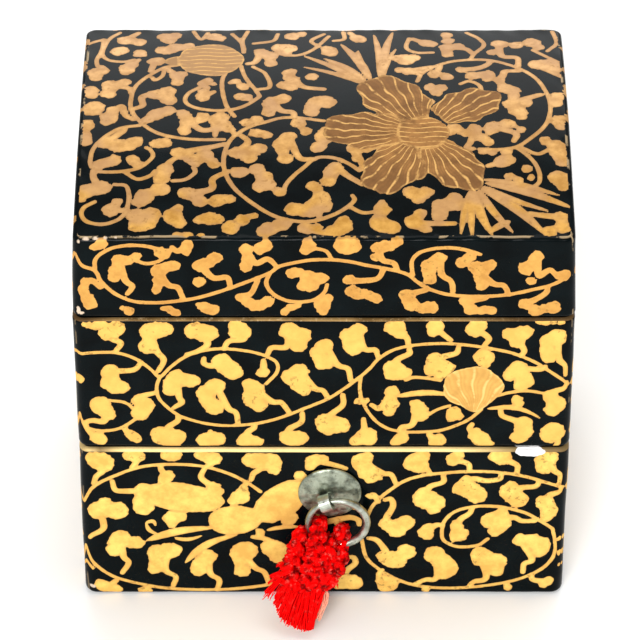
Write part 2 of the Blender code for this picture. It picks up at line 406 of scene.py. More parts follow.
BASE_LEAVES = """
4.0 3.2 2.2, 5.2 4 1.7, 2.6 2.6 1.3 | 4.9 5.6, 3.4 7.4, 2.8 9.2
12 1.8 1.5, 10 1.6 1.1 | 11.6 3.6, 10.7 5
18.8 1.7 1.3, 17.6 1.5 .9, 20.2 1.5 .9
27.4 2.6 1.7, 24.8 1.6 1.1 | 26.6 4.2, 25.8 5
37.6 3.2 2.1, 35 3 1.7, 39.8 3 1.5, 40 5.8 1.1 | 37 5.2, 35.6 6.6, 35.1 8.4
47.8 3 1.3, 49.8 2.6 1.1, 47 4.8 .8 | 51.5 4, 54.5 5.2
44.9 6.9 .7, 45.2 7.2 .6
17.9 7.3 1.3, 17.2 8.6 1 | 16.8 5.8, 16.6 4.6
27.3 10.4 1.3, 26.8 12.6 1.5, 28 11.6 1 | 25.4 8.6, 24.8 7.4, 25.6 5.2
13 11.4 1.9, 12.8 15.9 2.1, 11.8 14 .9 | 9.6 11.5, 7.2 11.2, 6.6 8.8
33 13 1.7, 31.4 14.2 1, 33.4 11 .8 | 33.2 10.6, 34.2 9.4
42.6 19.4 1.4, 43.2 19 1.2
18.5 19 1.7, 20.4 18.4 1.2, 18.3 21 .6
36.7 22.8 .7, 36.7 24 .5
3.7 16.9 2.3, 7.4 17 2.2, 5 14.6 1.1 | 4.4 20, 4.2 22.2, 2 23.8, 1.4 24.4
8 24.7 2.0, 11.2 25.9 1.5, 6.5 28 1.5, 7 26 1.6 | 8.3 29.6, 9.4 31.6, 8 34.4
17.6 28.2 1.9, 15.1 28.6 1.7, 19 28 1.3, 15 31.4 1.2, 15 33.2 1.5 | 17 33.6, 19 35.6, 18.2 38.2
26 29.9 1.7, 24.2 31.6 1.4, 24 33.6 1.6 | 26.2 34.6, 28 36.6, 27.4 39.4
33 28.8 2.5, 34.4 28 1.6, 33 34 1.6, 32.6 31.4 1.0 | 35.6 33, 37.6 34.4, 38.4 37.6
40 28 2.4, 41 30.4 1.6, 38.6 27 1.4 | 38.4 25.2, 35.2 24.4
4.4 38.4 1.4, 3 38 1.2, 6.2 39.2 1 | 6.6 36.6
12.4 39.4 .8, 11.6 39.9 .7 | 13.2 38.4
57.6 3.2 1.9, 58.8 2 1, 59.3 6.9 1.8, 60.4 7.6 1.1, 58 5.4 1.2 | 61.8 6.4, 63.8 7, 64.8 9.6
68.5 3.6 2.2, 70.3 1.8 1.2, 69.6 4.8 1.3 | 71 5.4, 71.8 6.8
76.3 2.9 1.4, 77.7 1.3 1 | 78.4 3.4, 79.6 4.2, 79.8 6
85.4 1.9 1.7, 86.9 2.6 1.2, 86.8 1.2 .9 | 88.4 3.6, 89.6 4.6, 89.6 6.4
96.2 2 1.5, 94.6 3 1.4, 95 5 1.6 | 97 5.6, 98.4 7, 98.3 9.4
70.7 13.8 2.2, 73.2 14.6 1.8, 72.6 16.4 1.3, 70.6 11.6 1 | 71.6 10.4, 74.4 9, 74.4 7
78.5 10.6 2, 81.5 12.7 2, 80.4 10.8 1.4, 79.3 8.2 .9 | 80.4 8.2, 83.4 8.7, 86 8.2, 86.3 7
88.2 11.8 2, 89.8 14 1.9, 90.8 13.8 1, 88.6 10.2 1.1 | 90.6 10.5, 93.4 10.2, 94.2 8.8
95.4 14.4 1.7, 96.6 16.8 1.7, 96 18.6 1 | 96.4 12.6, 98.6 11.6, 98.8 10.4
62.8 20.6 1.3, 65.2 21.8 2.0, 67.2 20 1.6, 65 23.2 1 | 63 18.6, 64.2 15.6, 63.8 13.6, 62.6 13.8
71 22.9 1.4, 71.8 21.6 .9, 71.6 24 .7 | 73.2 21, 74.6 21.2
77.5 21 1.2, 78.2 23.4 1.6, 77.2 24.4 1 | 78.4 19.2, 80 17.8, 80.6 16.4
84.4 19.6 1.9, 86.6 20.4 1.9, 85.4 22.6 1.3, 86.8 17.6 1.2 | 88.8 18.8, 91 19.8, 93.6 19.9
90.8 25.2 1.6, 93.4 25.6 1.8, 95.4 26.4 1.7, 94.9 28.6 1.4 | 93.4 30.6, 91.8 32, 91.6 34.4
63.8 30.4 1.9, 67.2 28.5 1.9, 65.2 31.4 1.6, 62.2 29.6 .9 | 62.4 27.4, 61 25.2, 59.2 24.6
73.2 28.8 1.7, 72.4 29.8 1.3, 75 31.6 2, 76 33.2 1.8, 75 34.8 1.4 | 73.6 35.8, 71.4 36.4, 69.4 37.6
82.6 30.2 2, 82.4 28.2 1, 86.2 31.2 1.9, 85.8 33.6 1.7, 84.4 31.2 1.6 | 84 36, 81.6 37, 80.6 38.6
53.1 37.6 1.6, 56.3 37.4 1.8, 54.4 36.6 1.2 | 54.8 34, 56.6 31.8, 56.2 30.2, 55.2 30
63.4 38.2 1.8, 62.2 36.4 1.1, 64.4 37 1.1 | 61.6 35.4, 62.2 33.8
97.2 36.8 1, 96.2 37.8 .8 | 95.4 36.8, 93.8 36.4, 93.4 35
71.5 38.9 .5, 71.6 39.5 .4
88.4 37.9 .5, 89.2 38.8 .45
60.2 12.6 .5, 59.2 12.8 .4 | 60.8 13.4, 61.2 14.4
99.2 25 .5, 99.3 29 .6, 99.4 32.4 .4
50.6 20 .6, 52.8 20.4 .5 | 55 18.8, 57 19.4, 57.3 20.8
47 12 1.8, 49.2 13.4 1.6 | 50.4 16, 48.8 18
55 11 1.6, 53 13 1.6 | 55.6 15.2, 57.4 16.6
50.4 25.4 1.9, 48 24 1.6 | 52 28, 51 31
46.4 30.6 1.9, 44.4 32.6 1.4 | 47.6 33.4, 46.6 36
"""
BASE_BLADES = """
13.2 25.3, 27.6 21.7, -.9 .85
19 24.6, 24.6 24, .7 .35
21.2 31.6, 32 23.8, -1.5 .75
38.2 22.5, 45.6 21.6, -.5 .4
15.6 23.6, 13.2 20.2, -.7 .3
13.2 20.4, 15.2 21.2, -.9 .3
"""
BASE_LOBES = ((20.8, 13.3, 8.6, 3.9, 10), (31.6, 19.6, 5.6, 4.0, -8), (41.2, 14.4, 7.2, 4.1, -48))

# %% Middle tier layout
MIDDLE_VINES = """
0 8.4, 1.3 8.8, 3 8.6, 5.5 8.4, 8.5 8.5, 11 9.3, 13.4 10.8, 15.5 13, 17.1 14.8, 19.2 12.4, 21.7 10,
24.6 8.4, 28.4 7.6, 32.5 7.8, 36.3 8.6, 38.8 9.7, 40.6 11.3, 40.5 13.8, 38.4 16.7
17.1 14.8, 16.4 17.5, 16.7 20.4, 18.3 22.9, 20.8 25.2, 24.2 26.7, 28.3 27.7, 32.9 27.8, 37.5 27.1,
42.1 25.4, 45.8 23.5, 50.5 21, 54.3 17.9, 57.2 15, 59.3 12.5, 60.9 10.2, 63.4 8.1, 66.3 6.9, 70.1 6.25,
74.7 6.1, 79.3 6.6, 83.8 7.5, 88 8.8, 92.2 11, 95.1 13.3, 97.6 15.4, 99.6 17
57.4 15, 57.2 17.9, 57.6 20.8, 58.8 24, 60.5 26.7, 63 28.8, 66.3 29.7, 70.1 29.7, 73.8 29.2, 77.2 27.7,
79.7 26, 81.8 23.5
0 25, .8 27, 2.5 28.8, 5.4 29.4, 8.3 28.8, 10.6 27.3, 12 25.6, 11.5 23.5, 9.8 21.7, 6.8 21.1
66.4 15.8, 68 15, 70.5 15.2, 73.4 15.8
71.2 25, 73 23.6, 75.4 22.6
84.7 20, 87.6 19, 91 18.6, 95.2 19.4
"""
MIDDLE_LEAVES = """
4.6 1.5 .9, 2.6 1.2 .5, 6.2 1.2 .8
6.8 3.4 1.6, 9 2 1.4, 8 2.8 1.4 | 8 5, 9.6 6, 8.5 8
15.4 3 2, 18.8 2.3 1.2, 17 2.6 1.6, 15 6.8 1.9 | 16.6 8, 18 10.4, 16.9 13.2
24.4 2.8 1.9, 27.2 3.4 1.7, 25.8 3.6 1.6 | 26.8 6, 25 8, 22.6 9
33 3 1.9, 32.6 1.6 1.2, 34 3.6 1.2 | 34 5, 31 5.6, 30 7.6
43 2.8 1.9, 45.8 4 1.5, 44.8 6.8 1.4, 44.6 5 1.4 | 42.6 6.9, 39.6 7.2, 38.8 8.8
50.3 6.5 1.5, 48.6 8.4 1.3, 50 11.3 1.7, 49.4 10 1.2 | 52.6 11.6, 54.8 12.8, 55.3 15.8
56.8 2.3 1.5, 54.9 4 1.5, 56 7.2 1.8, 55.4 5.6 1.4 | 58 7.4, 60.2 7.8, 60.8 9.6
64.4 2 1.7, 65.2 3.4 1.2, 63.2 1.6 1 | 66.4 4.4, 66.8 6.2
72.2 1.8 1.6, 71.6 3 .9 | 73.6 3.6, 75.2 5.2
79.8 2 1.6, 81.2 1.2 1, 80 3.2 .9 | 82 3.8, 82.8 5, 82 6.4
88 4 1.5, 86.4 3.4 .8, 90 3 1.5, 88.6 6 1.3 | 89.6 7, 90 8.2, 89.4 9.4
96.5 4.4 1.9, 94.4 5.4 1.3, 94.6 8 1.2, 95.2 9.6 1.5 | 97 10, 98.4 12, 98.6 14.4
7.2 13.3 1.6, 7 16.2 1.8, 9.4 17.6 1.4, 8 18 1.2 | 9.2 13.3, 12 12.9, 13.4 11.2
5 22 1.8, 4.4 23.6 1.2, 6.4 24.8 1.4 | 5.6 26.6, 3.2 26.6, 1.8 27, 1.8 28.2
12.9 21 1.4, 14.2 22.6 1.5, 12.8 24.6 1.7 | 13.2 20, 15.8 19.2
20.5 14.9 1.7, 23.4 16 1.6, 19 18.4 1.3, 19.4 16.6 1.4 | 20.8 20, 21.4 21.6, 19.8 23
29.4 10.8 1.8, 31.8 13.6 1.8, 30.6 12.2 1.6 | 27.6 12, 26 11.4, 26 10
28.4 17.2 1.8, 26.1 19 1.6, 26.6 21.4 1.3, 28 22.9 1.8 | 30.6 23, 32.2 24.4, 32.6 27
37.9 13.6 .9, 37.4 14 .7 | 37.9 11.6, 37.9 10.6
36 17.8 1.8, 34.6 16.6 .9, 35.6 20.4 2, 36.8 22.4 1.5 | 39.4 21.4, 41.4 21.8, 43 24.5
45.2 13.2 1.6, 43.4 15 1.8, 45.2 17 1.7, 46 18.6 1.1 | 48 17.8, 49.8 18.6, 50.8 20.6
17.4 31 2, 20.3 30.8 1.7, 19.6 32.4 1, 16.6 30 1.4 | 18.4 28.4, 20.4 26.6, 20.5 25.2
26.4 31.6 1.7, 28.4 31.5 1.6, 25.6 32.4 1.1 | 27 29.4
34.3 31.6 1.5, 36.6 32.2 1.1, 33.6 32.6 .9 | 34.6 29.6, 35.8 28.6, 36 27.6
42.7 31 1.6, 45.3 31.2 1.5, 43.6 32.4 1.1 | 43 28.8, 45.4 27, 45.6 24.6
50 26.8 1.7, 53 27.8 2.1, 50.6 28.6 1.6 | 51.6 24.8, 53.8 22.4, 53.8 19.8
58.7 30.2 1.6, 59.2 31.8 1.4, 56.6 32.3 1.3 | 58.2 28.4, 58 26.2
65.8 31.2 1.3, 64.6 32.8 .8 | 66.4 29.6
73.2 31.9 1.4, 72.6 32.8 .9 | 71.6 30.8, 71.4 29.8
81.6 31.4 1.6, 83 32.8 1.3, 80.6 30 1.1 | 79.6 29, 80 27.6
90.3 27.2 1.6, 90.8 29.4 1.4, 89.4 31 1.5 | 88 26.2, 86 25.2, 85.6 23.6
96.4 29.4 2.2, 95.8 30.8 1.5, 97.6 30 1.2 | 97.6 32, 97.2 33.4
63.9 12.4 1.8, 66 13.9 1.5, 63.6 14.4 1.2 | 64.6 10.4, 67 8.8, 67 7.6
72.2 10.2 1.6, 71.6 12.8 1.6, 74.4 12.4 1.6, 73.4 14 1 | 74 9.4, 76.4 8.6, 76.8 7.2
81.6 9.4 1.7, 82.9 10 1, 82 11.6 .7
89 12.8 1.9, 87.2 14.4 1.2, 90.3 15.6 1.8, 89.4 17.4 1.1 | 91 12.8, 93.4 12.9, 94.4 12.2
95.4 19.8 1.3, 97 22 1.8, 96 23.8 1.4 | 96 18.8, 98.4 17.8, 99 16.4
63.7 18.8 1.3, 63.4 21.8 1.7, 63.2 24.2 1.1 | 61.4 23.2, 59.6 22.4
68.8 22.4 1.4, 69.8 25.4 1.3, 69.4 24 1.2 | 68 27.6, 65.8 28.4, 65.4 29.6
76.2 24.4 1.3, 77.2 25.4 .9, 75.4 26.4 .5
88.8 20.8 .9, 89.4 22 .8
57.6 21.4 .4, 56.6 21.5 .35, 58.4 21.3 .35
10.8 30.4 1.1, 12 31.6 .8 | 9.8 29.4, 9.6 28.4
3.8 31.2 1.4, 5 32 .8 | 2.4 29.6, 1 27.4
.7 15.4 1
"""
MIDDLE_BLADES = """
64.6 20.1, 76.4 19.9, -.9 .6
83 23.4, 93.6 25.8, -1.5 .45
"""

# %% Lid band layout
BAND_VINES = """
.2 4, 2 6.6, 4.6 8, 5.8 10.8, 8.3 13.8, 11.7 15.8, 15.8 16.3, 20 16, 25 15, 30 13.1, 35 10.8, 39.2 8.6,
41 7, 44.2 6, 47.5 5.3, 51 5.2, 54.7 5.6, 58.8 6.7, 62.2 7.4, 66.3 8.8, 68.4 10.8, 70.5 12.5, 73.8 14,
78 14.6, 83 14.6, 87.2 14, 91.3 12.9, 94.7 11.9, 97.2 10.4, 98.2 9
4.6 8, 4.8 4.8, 7.4 2.4, 10.8 1.5, 14.2 1.6, 17 2.4, 19.4 3
12.8 5.5, 15 6.2, 17.4 5.4, 18.8 3.8
39.2 8.8, 38.5 11.2, 39.6 13.8, 42 15.6, 45 16.2, 48 15.6, 50 13.8, 50.6 11.7
67.6 9.2, 67.4 5.6, 68.8 3.4, 71.8 2.3, 75 2.1, 78.4 2.7, 81 3.8
48 2.2, 50.4 3, 51.6 5.2
"""
BAND_LEAVES = """
4.4 1.8 .8, 6 1 .9
9.3 5.2 1.2, 8.6 7.6 1, 8.5 9.6 1.2, 12.8 4.3 .9, 11 5.4 .8 | 10.6 10.4, 12 12, 11 14
17.4 3.2 1.1, 18.4 4 .8
17 8 1.4, 20.4 6.6 1, 18.6 7.2 .8, 17.4 10.6 1.2, 16.6 13 .8 | 19 11.6, 21 12.4, 22 15
22.8 1.4 1.1, 22.6 3.2 .7 | 21 3, 19.8 2
25.4 6.6 1.4, 28.4 4.6 1.2, 27 5.8 .8, 25.4 10.8 1.2 | 28 9.8, 30.8 9.8, 31.4 12.4
34.4 2.4 1.2, 34.7 4.8 1, 34.4 7.2 1 | 36.4 6, 38.8 5, 40.6 7
38.2 1.6 1.4, 37 2.6 .9
43.8 8.8 1.2, 45.2 8.2 .5
47 9.8 1.6, 49.4 10 1.3, 46 12 1.1, 47.6 12 1
47 1.4 1.2, 46.2 3 .8
2 13 1.1, 3.6 16.6 1.3, 2.6 10.8 .7, 2.8 14.8 .8 | 3.6 10.4, 5.6 12.4
49.5 16.8 1.4, 50.6 15.2 .9, 49.8 18.6 .8
34.8 16.2 1.1, 36.6 17.4 1, 38.8 16 1.1, 37.6 16.8 .8 | 33 14.8, 35.4 14, 36.8 10.6
25.8 17.2 .8, 28 18.3 1.1, 26.8 17.8 .8 | 25 16.8
19.4 17.8 .7, 20.8 19 .7 | 18 17.8
11.4 18.6 .9, 10 17.6 .4
43.4 17.5 .8, 42 18.9 .7 | 45 17.2
53.5 1.6 1.5, 56 1.5 1.3, 54.8 2.4 1.1
60.5 2 1, 60.3 4.6 .8, 62.6 1.6 1.1, 64.6 .6 .8 | 61.6 5.2, 63.8 6, 64.6 8
55 10.4 1.1, 55.6 13.4 1.2, 58.4 14 .8, 60.2 15.2 1.1, 56.8 14 .9 | 57.6 10.6, 60.6 10, 61.8 7.6
73 4.7 1.2, 70.6 6.4 1.3, 70.8 8.4 1, 71 10.4 1.1 | 73.4 9, 75.2 10.8, 75.6 13.4
77.4 6 1.2, 79 4.4 1
80 7.2 1.4, 83.2 6.4 1, 81.6 7.6 .9, 81 10 1.1, 81.2 12.2 .8 | 83.4 11.2, 85.6 11.8, 86.6 14.2
92.4 4.2 1.1, 90 7.4 1.4, 91.4 6 .8, 91 10.6 .9 | 92.6 9.2, 94.8 7.8, 96.4 9.8
66.4 14.3 1.3, 67 16.8 1.3, 69 18 .9, 71.2 17.6 1.4 | 68.6 13.6, 70.2 13, 70.4 12.4
77.8 16 .9, 79 18 1.2, 81.2 18.6 .8, 83.2 18.2 .9 | 80 15.6, 82 15.2
89.6 16.4 1.1, 91.8 18.6 1.2, 93.6 18 .8, 95.6 17.4 1.3 | 91.6 15.6, 94 13.8, 94.4 12.2
97.4 9.4 1, 98 8.8 .8
"""

# %% Lid top layout
# Along from the left edge, and forward from the back edge.
TOP_VINES = """
7.7 .5, 5.8 3, 4.8 6.5, 4.5 10, 6 12.2, 9 12.8, 11 12
4.5 3.8, 4.4 7, 4 9.5, 3.4 12, 3.6 14.5
20 14.2, 17.5 15, 15 17.5, 13 20, 11.5 23, 11 26.5, 11 30, 12 33, 14 36, 16 38, 19 39.5, 24 40.5, 30 40.5
25 22.5, 22.5 25, 22 28, 24 30, 28 31, 32 30.5, 35 28.5, 37 26
50 34.5, 45 33.5, 41.5 33.5, 38 35, 35 36.5, 32 39.5, 30.5 43, 30 47, 30.5 51, 32.5 55.5, 36 59.5,
40 62.8, 44 64.3, 48 64.3, 52 62.5, 54.5 60.5, 56 58.5, 55.6 57.2
55 60.3, 57.5 62, 59.7 61.8
42 56.5, 42.5 54, 44 51.5, 46 49, 48.5 46.2, 52 46.2, 55 48, 57 50
69 20.5, 70 17.5, 72.5 14.8, 76 12.8, 80 12, 84 12.2, 87.5 13.8, 90.5 16, 93 19, 94.5 22.5, 95.5 26.5,
95.7 30.5, 95 34.5, 93.5 37.5, 91 40.5, 88.5 42.8, 85 43.6, 81 43.5
88.5 43, 91 46, 92.5 49.5, 92.7 53, 91.5 54.8
13 36, 9 37, 5.5 40.5, 3.8 44, 3.5 47.5, 3.8 49
5 50.3, 8 50.4, 11 50, 13.5 49, 15.8 46, 15.5 44, 14.5 43
10.5 50.5, 13 52.5, 15.5 51.5, 16.5 50
4.8 59, 2.8 60.5, 2.3 62.5, 3.5 64.5, 6.5 65.2, 9.5 64, 11.3 61.5
8.5 54, 10.8 54.5, 11.5 57.5, 11.2 61
31 1, 33 5, 33.5 9
34.2 0, 33.2 4, 33.6 8
40.5 1, 39.5 4, 35.5 5.2
50 1, 47.4 4, 49 6.5
51 2, 48 7.5, 45 10, 42 10.2
30.5 15.5, 29.3 20, 29.5 25, 30.5 30, 32 33
33 14.5, 34 19, 36 23.5, 37 26
35.5 14.8, 38 17.5, 39 22.5, 36.5 23.5
20 53, 22.5 52.6, 24.4 50.5, 24 49
79.6 .4, 82 3, 83 6, 81 9.4, 80 12
93 8, 96.6 11.6, 98 13
67.6 3, 67 7, 69 9, 72.4 9
54 0, 54.2 3.2, 52 4
77.8 21.4, 79.6 20.4, 81.6 22, 82 24.8
17.4 16, 17 18.5, 15.6 20, 15 19
89.4 43, 92.6 45, 95 43.4
97.4 0, 98 5, 96 8.4
1 5.6, 2.4 4.6, 4.5 3.4
26 .5, 24.6 3.4, 23 0
"""
TOP_LEAVES = """
9 3.8 1.6, 12 4.6 1.3 | 10.4 2, 11.6 .6
7.7 8.6 1.4, 8.6 7.8 1
17 2.2 1.3, 19.6 1.6 1, 18 4 1.2
16.5 8 1.3, 19.4 6.8 1.3, 22 6.4 1.2, 18.4 8.4 .8
12 9.8 1, 12.4 8.8 .7
15.4 12.8 1.3, 16.4 12.2 .8 | 14.6 16.6
9.8 15.6 1.3, 10.6 14 1.1, 9.6 16.8 .9 | 12 12
4.6 16 1.3, 2.8 17.2 1, 3.6 19 1.1
19.8 18 1.1, 21.2 17.8 .8, 20.2 20.8 1.1 | 18 15.6
6.6 22 1.6, 9.4 20.8 1.2, 6.2 25 1.5 | 10.2 23, 11 25
2.4 24.2 1.7, 3 25.4 1
3.2 30.6 2, 4 29.6 1.3
18.6 24 1.3, 15.6 25.4 1.2, 18.6 27.4 1.4, 17 25 1 | 13.4 26, 13.4 29.2, 11.6 30.4
6.6 33.4 1.4, 7.4 31 1.1, 6.4 34.6 1 | 9 29.6, 10 32.6, 11.6 34
2.4 36 1.5, 1.6 39 1.3, 2.2 41.2 1.3
16.4 32 1.5, 18.8 31 1.2, 14.8 34 1.1
21.6 32 1.1, 22.6 34.4 1.4, 22 37.6 1.3 | 25 37.2, 28 37.4, 28.2 39.2
25.6 33.2 1.2, 25 34.4 .8
29.2 33.4 1.6, 29 36 1.4, 27.8 34.4 .8, 31 37 1 | 32 38.6
34.2 35 1, 36.6 34 1
36.4 38.4 1.2, 38.6 39 .9
39.4 28 1.4, 41.8 26.8 1.4, 38.8 31.6 1.3, 39 29.6 1 | 41.4 31, 43.6 31.6, 44.2 33.6
48.6 28 1.7, 50.6 28 1.7, 47.4 31.6 1.3, 47.4 29.6 1
40.6 7 1.4, 43 7.2 1.4, 41.8 9.2 1
43.2 2.2 1.3, 45.4 1 .8
37 9 1.4, 39.2 10.4 1.3, 39 13.4 1.2 | 36 12.8, 34.4 13.6
42.6 17.4 1, 43.4 16.6 .7
44 20 1.1, 41.4 22 1, 43.6 22.6 1.1, 42.6 18.8 .8 | 46 22.6, 50 23.4
47.5 18.8 .9, 47.8 18.4 .6
32 20.4 .8, 33.6 22.4 1.1 | 31 21
34.4 26.4 1.1, 32.8 26 .9
25.4 26.2 1.3, 25.6 24 .8 | 27.6 24.4
25 21.4 .6, 26.4 20 .7, 27.4 21.4 .5 | 26.4 23
27.2 2 1.3, 28.6 3 .9
51.3 8.7 1.5, 50.8 7.6 1
56.6 2.6 1.2, 57.6 3.8 .8 | 55.4 .4
66.5 11.6 1.6, 68.6 11 1, 64.6 11.2 .8, 66.8 13 .8
67 16.6 1.1, 69.2 17.2 .8, 65.4 16 .7 | 72 14.8
72.6 17.6 1.3, 75.2 18.8 1 | 73.4 16, 73.8 14.4
78 16 .9, 80.4 18.4 1.3, 83.4 17.6 1.2, 83.4 19.4 .9 | 81.4 15.4, 83.6 13.8, 84 12.6
85.6 20 1.1, 86.6 23 1.4, 88.6 24 1.2, 88.4 26.4 1 | 86.6 18, 87 16.6, 90 16.4
87.4 28.6 1.2, 89 31 1.6, 90.8 28.2 1.2, 89.8 33 .9 | 92.6 26, 94 25.4
71.4 22.6 1, 74 22.8 1, 72.8 24.8 .9
71.4 28 .8, 70.6 28.6 .5
86 5.4 1.4, 89.6 6 1.2, 93 4.6 1.5, 84.6 9 1, 94.4 6.8 .9 | 86.6 10.4, 89.6 11.2, 89.8 14.6
93.2 14 1.4, 96.4 14.2 1.7, 95 13 1, 97.6 16 1 | 98.4 18.6
97.6 26.4 1.7, 96.8 28.6 1
97.4 34.4 1.6, 97.8 36.4 1
75.4 1.4 1, 75.6 4 1.1
75 7 1.3, 77.6 6.4 1.2, 75.4 9.8 1.1 | 79 7.4, 80.6 9.4
70.6 4.8 1.1, 72.4 5.4 .9 | 68.4 3.2
76.2 37 1.4, 75 38.2 .9, 78.6 38.6 .9
80.4 36.8 1.1, 81.4 39.8 1.1, 83 41.4 .9 | 79.4 41, 78.4 43
84 36.4 1.5, 87 35.4 1.3, 89.6 37.4 .8, 83.4 38 .9 | 88.4 38.6, 88 41
94.4 40.8 1, 96.4 42.6 1.6, 97 45 1.6, 97.6 47.6 1.1
96.4 52 1.8, 97.4 54.6 1.2
85.4 47.4 1.5, 86.6 46.6 1.2 | 82.6 48.6
86.6 51.6 .8, 88.6 52.8 .8, 91 51.9 .7
90.4 49.2 .6, 90.2 49.8 .5
79.4 43.4 .5, 81.6 44.2 .6, 83.6 44.6 .6, 86.4 44.4 .9
56 43.4 1.4, 58.6 43 1.2, 61.4 42.2 1, 56.6 46.4 .9 | 57.6 48, 57.8 49.6
52.4 49 1.4, 51.2 50.6 1, 50.8 53 1.4 | 54.8 51.6, 57.6 54
61.4 61.2 1.5, 60.8 65 1.8, 63.4 66.2 1.5, 61.4 59.2 .6
67.2 56.2 1.5, 70.2 56.4 1.3, 68.6 58.4 1
73 60 1.5, 75.8 58.2 1.5, 72.6 62.8 1.4, 76 60.4 .8
67.6 64.6 1.6, 69 62.2 1.1, 70 66.6 .9 | 70.6 65, 75.6 65
53.6 66 1.8, 51.4 67.6 1.4, 54 64 .9
96.4 63.2 1.3, 94 67.2 1.2, 97 66.2 1.2 | 93 62.8, 90.4 62.2
49.4 57.8 1.7, 50.4 60.6 1.1 | 49 63
6.4 41.4 1.6, 9 42.6 1.6, 12.2 41.2 1.4, 11 42.6 1 | 9.6 38, 10 36.8
16.4 41.8 1.1, 18.2 41.6 1.2
5.4 48.2 1.3, 8.4 46.8 1.2, 7 47.4 .8
11.8 46.6 1.1, 13 48.4 .9
6 55 1.8, 3 55.8 1.6, 2 58 1 | 4.4 52.4, 4.2 50
18.4 49.6 1.5, 17.8 52.4 1.5 | 19.2 47.6, 20.4 46.2
17.6 55.4 1.8, 14.6 57.4 1.7, 13.6 59.2 1.1
12.8 62.6 1.5, 16.2 62.4 1.6, 13.4 65.6 1.5, 15.6 65 1.3
8 61.4 1.5, 9.2 59 .9 | 10.8 61.4
21 44.6 1.4, 24.4 47 1.5, 26.6 45.4 1.3, 28 48 1.1, 22.6 45.6 1 | 27 43, 30 42
22.6 56.6 1.4, 24.6 57 1.2, 25.4 59 1.2, 29 58.6 1.5, 31.4 58 1 | 27.6 55.4, 28 52.4, 31 50.2
32.8 50.6 1.3, 34 50.2 .8
32.6 44.6 1.5, 37 43.4 1.4, 35 46.2 1.4, 34.8 44.4 1 | 34.8 41.4, 33.4 39.2
43 39.6 1.4, 41.4 41.8 1.5, 42.4 46.6 1.3, 41.8 44 1.1 | 45 46, 48 46.6
44.8 35.2 1.3, 46.4 38 1
50.2 39.6 1.8, 48.8 43 1.4, 50.6 37.6 1
36.6 49.4 1.3, 38.2 51.8 1.5, 37 54.8 1.2, 41.4 56.2 1.1, 39.4 54.2 1
47.6 54.4 1, 48.8 55.4 .8
43.8 61 1.5, 46.8 61.4 1.8, 49 58.8 1.6
20.2 63 1.7, 21.6 65 1.2, 21.4 60.6 .7
27 63.6 1.5, 29.2 63.8 1.1, 25.4 64 .7
31.6 66.2 1.6, 34 64 1.2, 36.2 62.8 .6
38.4 67 1.5, 42 65 1.5, 40 66.2 1.3
46.4 66.4 1.4, 49 66 .6 | 51 68
21 68.2 .6, 23.4 68.2 .7, 26 68.4 .5
"""
TOP_BLADES = """
59.5 20, 53.5 5.5, .6 .8
59.5 20, 57 8.3, -.5 .6
58.5 20.5, 50 11.5, .8 .6
58 21, 46 10.5, .6 .6
58 21.5, 46 15, .7 .45
61.4 19.5, 60.4 1.5, .5 .6
61.8 19.5, 64.2 .4, -.6 .75
62 19.5, 64.8 7.6, -.5 .4
81.6 52.6, 96.4 57.2, -.7 .55
82 53.6, 99 60.9, -.8 .8
81.6 54.6, 94 61.5, .5 .5
81 55, 93.6 68.4, -.9 .9
80.6 55.6, 87 67.4, .5 .6
79.6 55.4, 83 68.4, .6 .8
79.2 55.4, 79 68.6, .2 .6
78.8 56, 76.8 67.8, .2 .5
86.4 64.4, 82.6 67.4, .3 .6
"""

# %% [markdown]
# ## Flowers
# A petal is an oval drawn in copper-brown over the vine, with fine light lines fanning out
# from its root. The flower's round centre and the round bud carry level lines instead.

# %% Petals and lobes


def oval(panel, x, y, long, short, turn_deg, onto, wave=0.0, lobes=5, over=False):
    """An oval with a gently waved rim. Laid over others, it hides them and keeps a border."""
    turn = math.radians(turn_deg)
    where = panel.near(np.array([[x, y]]), max(long, short) * 1.25)
    a = (panel.u[where] - x) * math.cos(turn) + (panel.v[where] - y) * math.sin(turn)
    b = -(panel.u[where] - x) * math.sin(turn) + (panel.v[where] - y) * math.cos(turn)
    rim = 1 + wave * np.cos(lobes * np.arctan2(b, a))
    gap = (np.hypot(a / long, b / short) - rim) * min(long, short)
    gap = gap + 0.5 * panel.shake[where]
    if over:
        kept = getattr(panel, onto)
        kept[where] = np.where(gap < 0, FAR, np.maximum(kept[where], -gap - 0.02))
    panel.lay(where, gap, onto)
    return where[gap < 0.2]


def fan_lines(panel, inside, root, axis_deg, line_deg):
    """Number the fine lines that fan out from a root: a line runs wherever the number is whole."""
    x, y = panel.u[inside] - root[0], panel.v[inside] - root[1]
    turn = np.arctan2(y, x) - math.radians(axis_deg)
    turn = np.mod(turn + math.pi, 2 * math.pi) - math.pi
    waver = 0.10 * np.sin(0.9 * np.hypot(x, y))
    panel.fan[inside] = turn / math.radians(line_deg) + waver + 0.06 * np.sin(2.3 * x)


def level_lines(panel, inside, y, spacing):
    panel.fan[inside] = (panel.v[inside] - y) / spacing + 0.14 * np.sin(0.8 * panel.u[inside])


PETALS = ((64.4, 27.0, 9.4, 6.3, 56), (58.9, 37.6, 9.4, 5.8, 6), (79.0, 29.2, 7.5, 5.3, -32),
          (63.6, 49.0, 8.2, 5.5, -62), (75.6, 48.2, 8.4, 5.3, 56))
FLOWER_HEART = (69.9, 38.2, 5.2)
ROUND_BUD = (26.8, 12.0, 6.7)


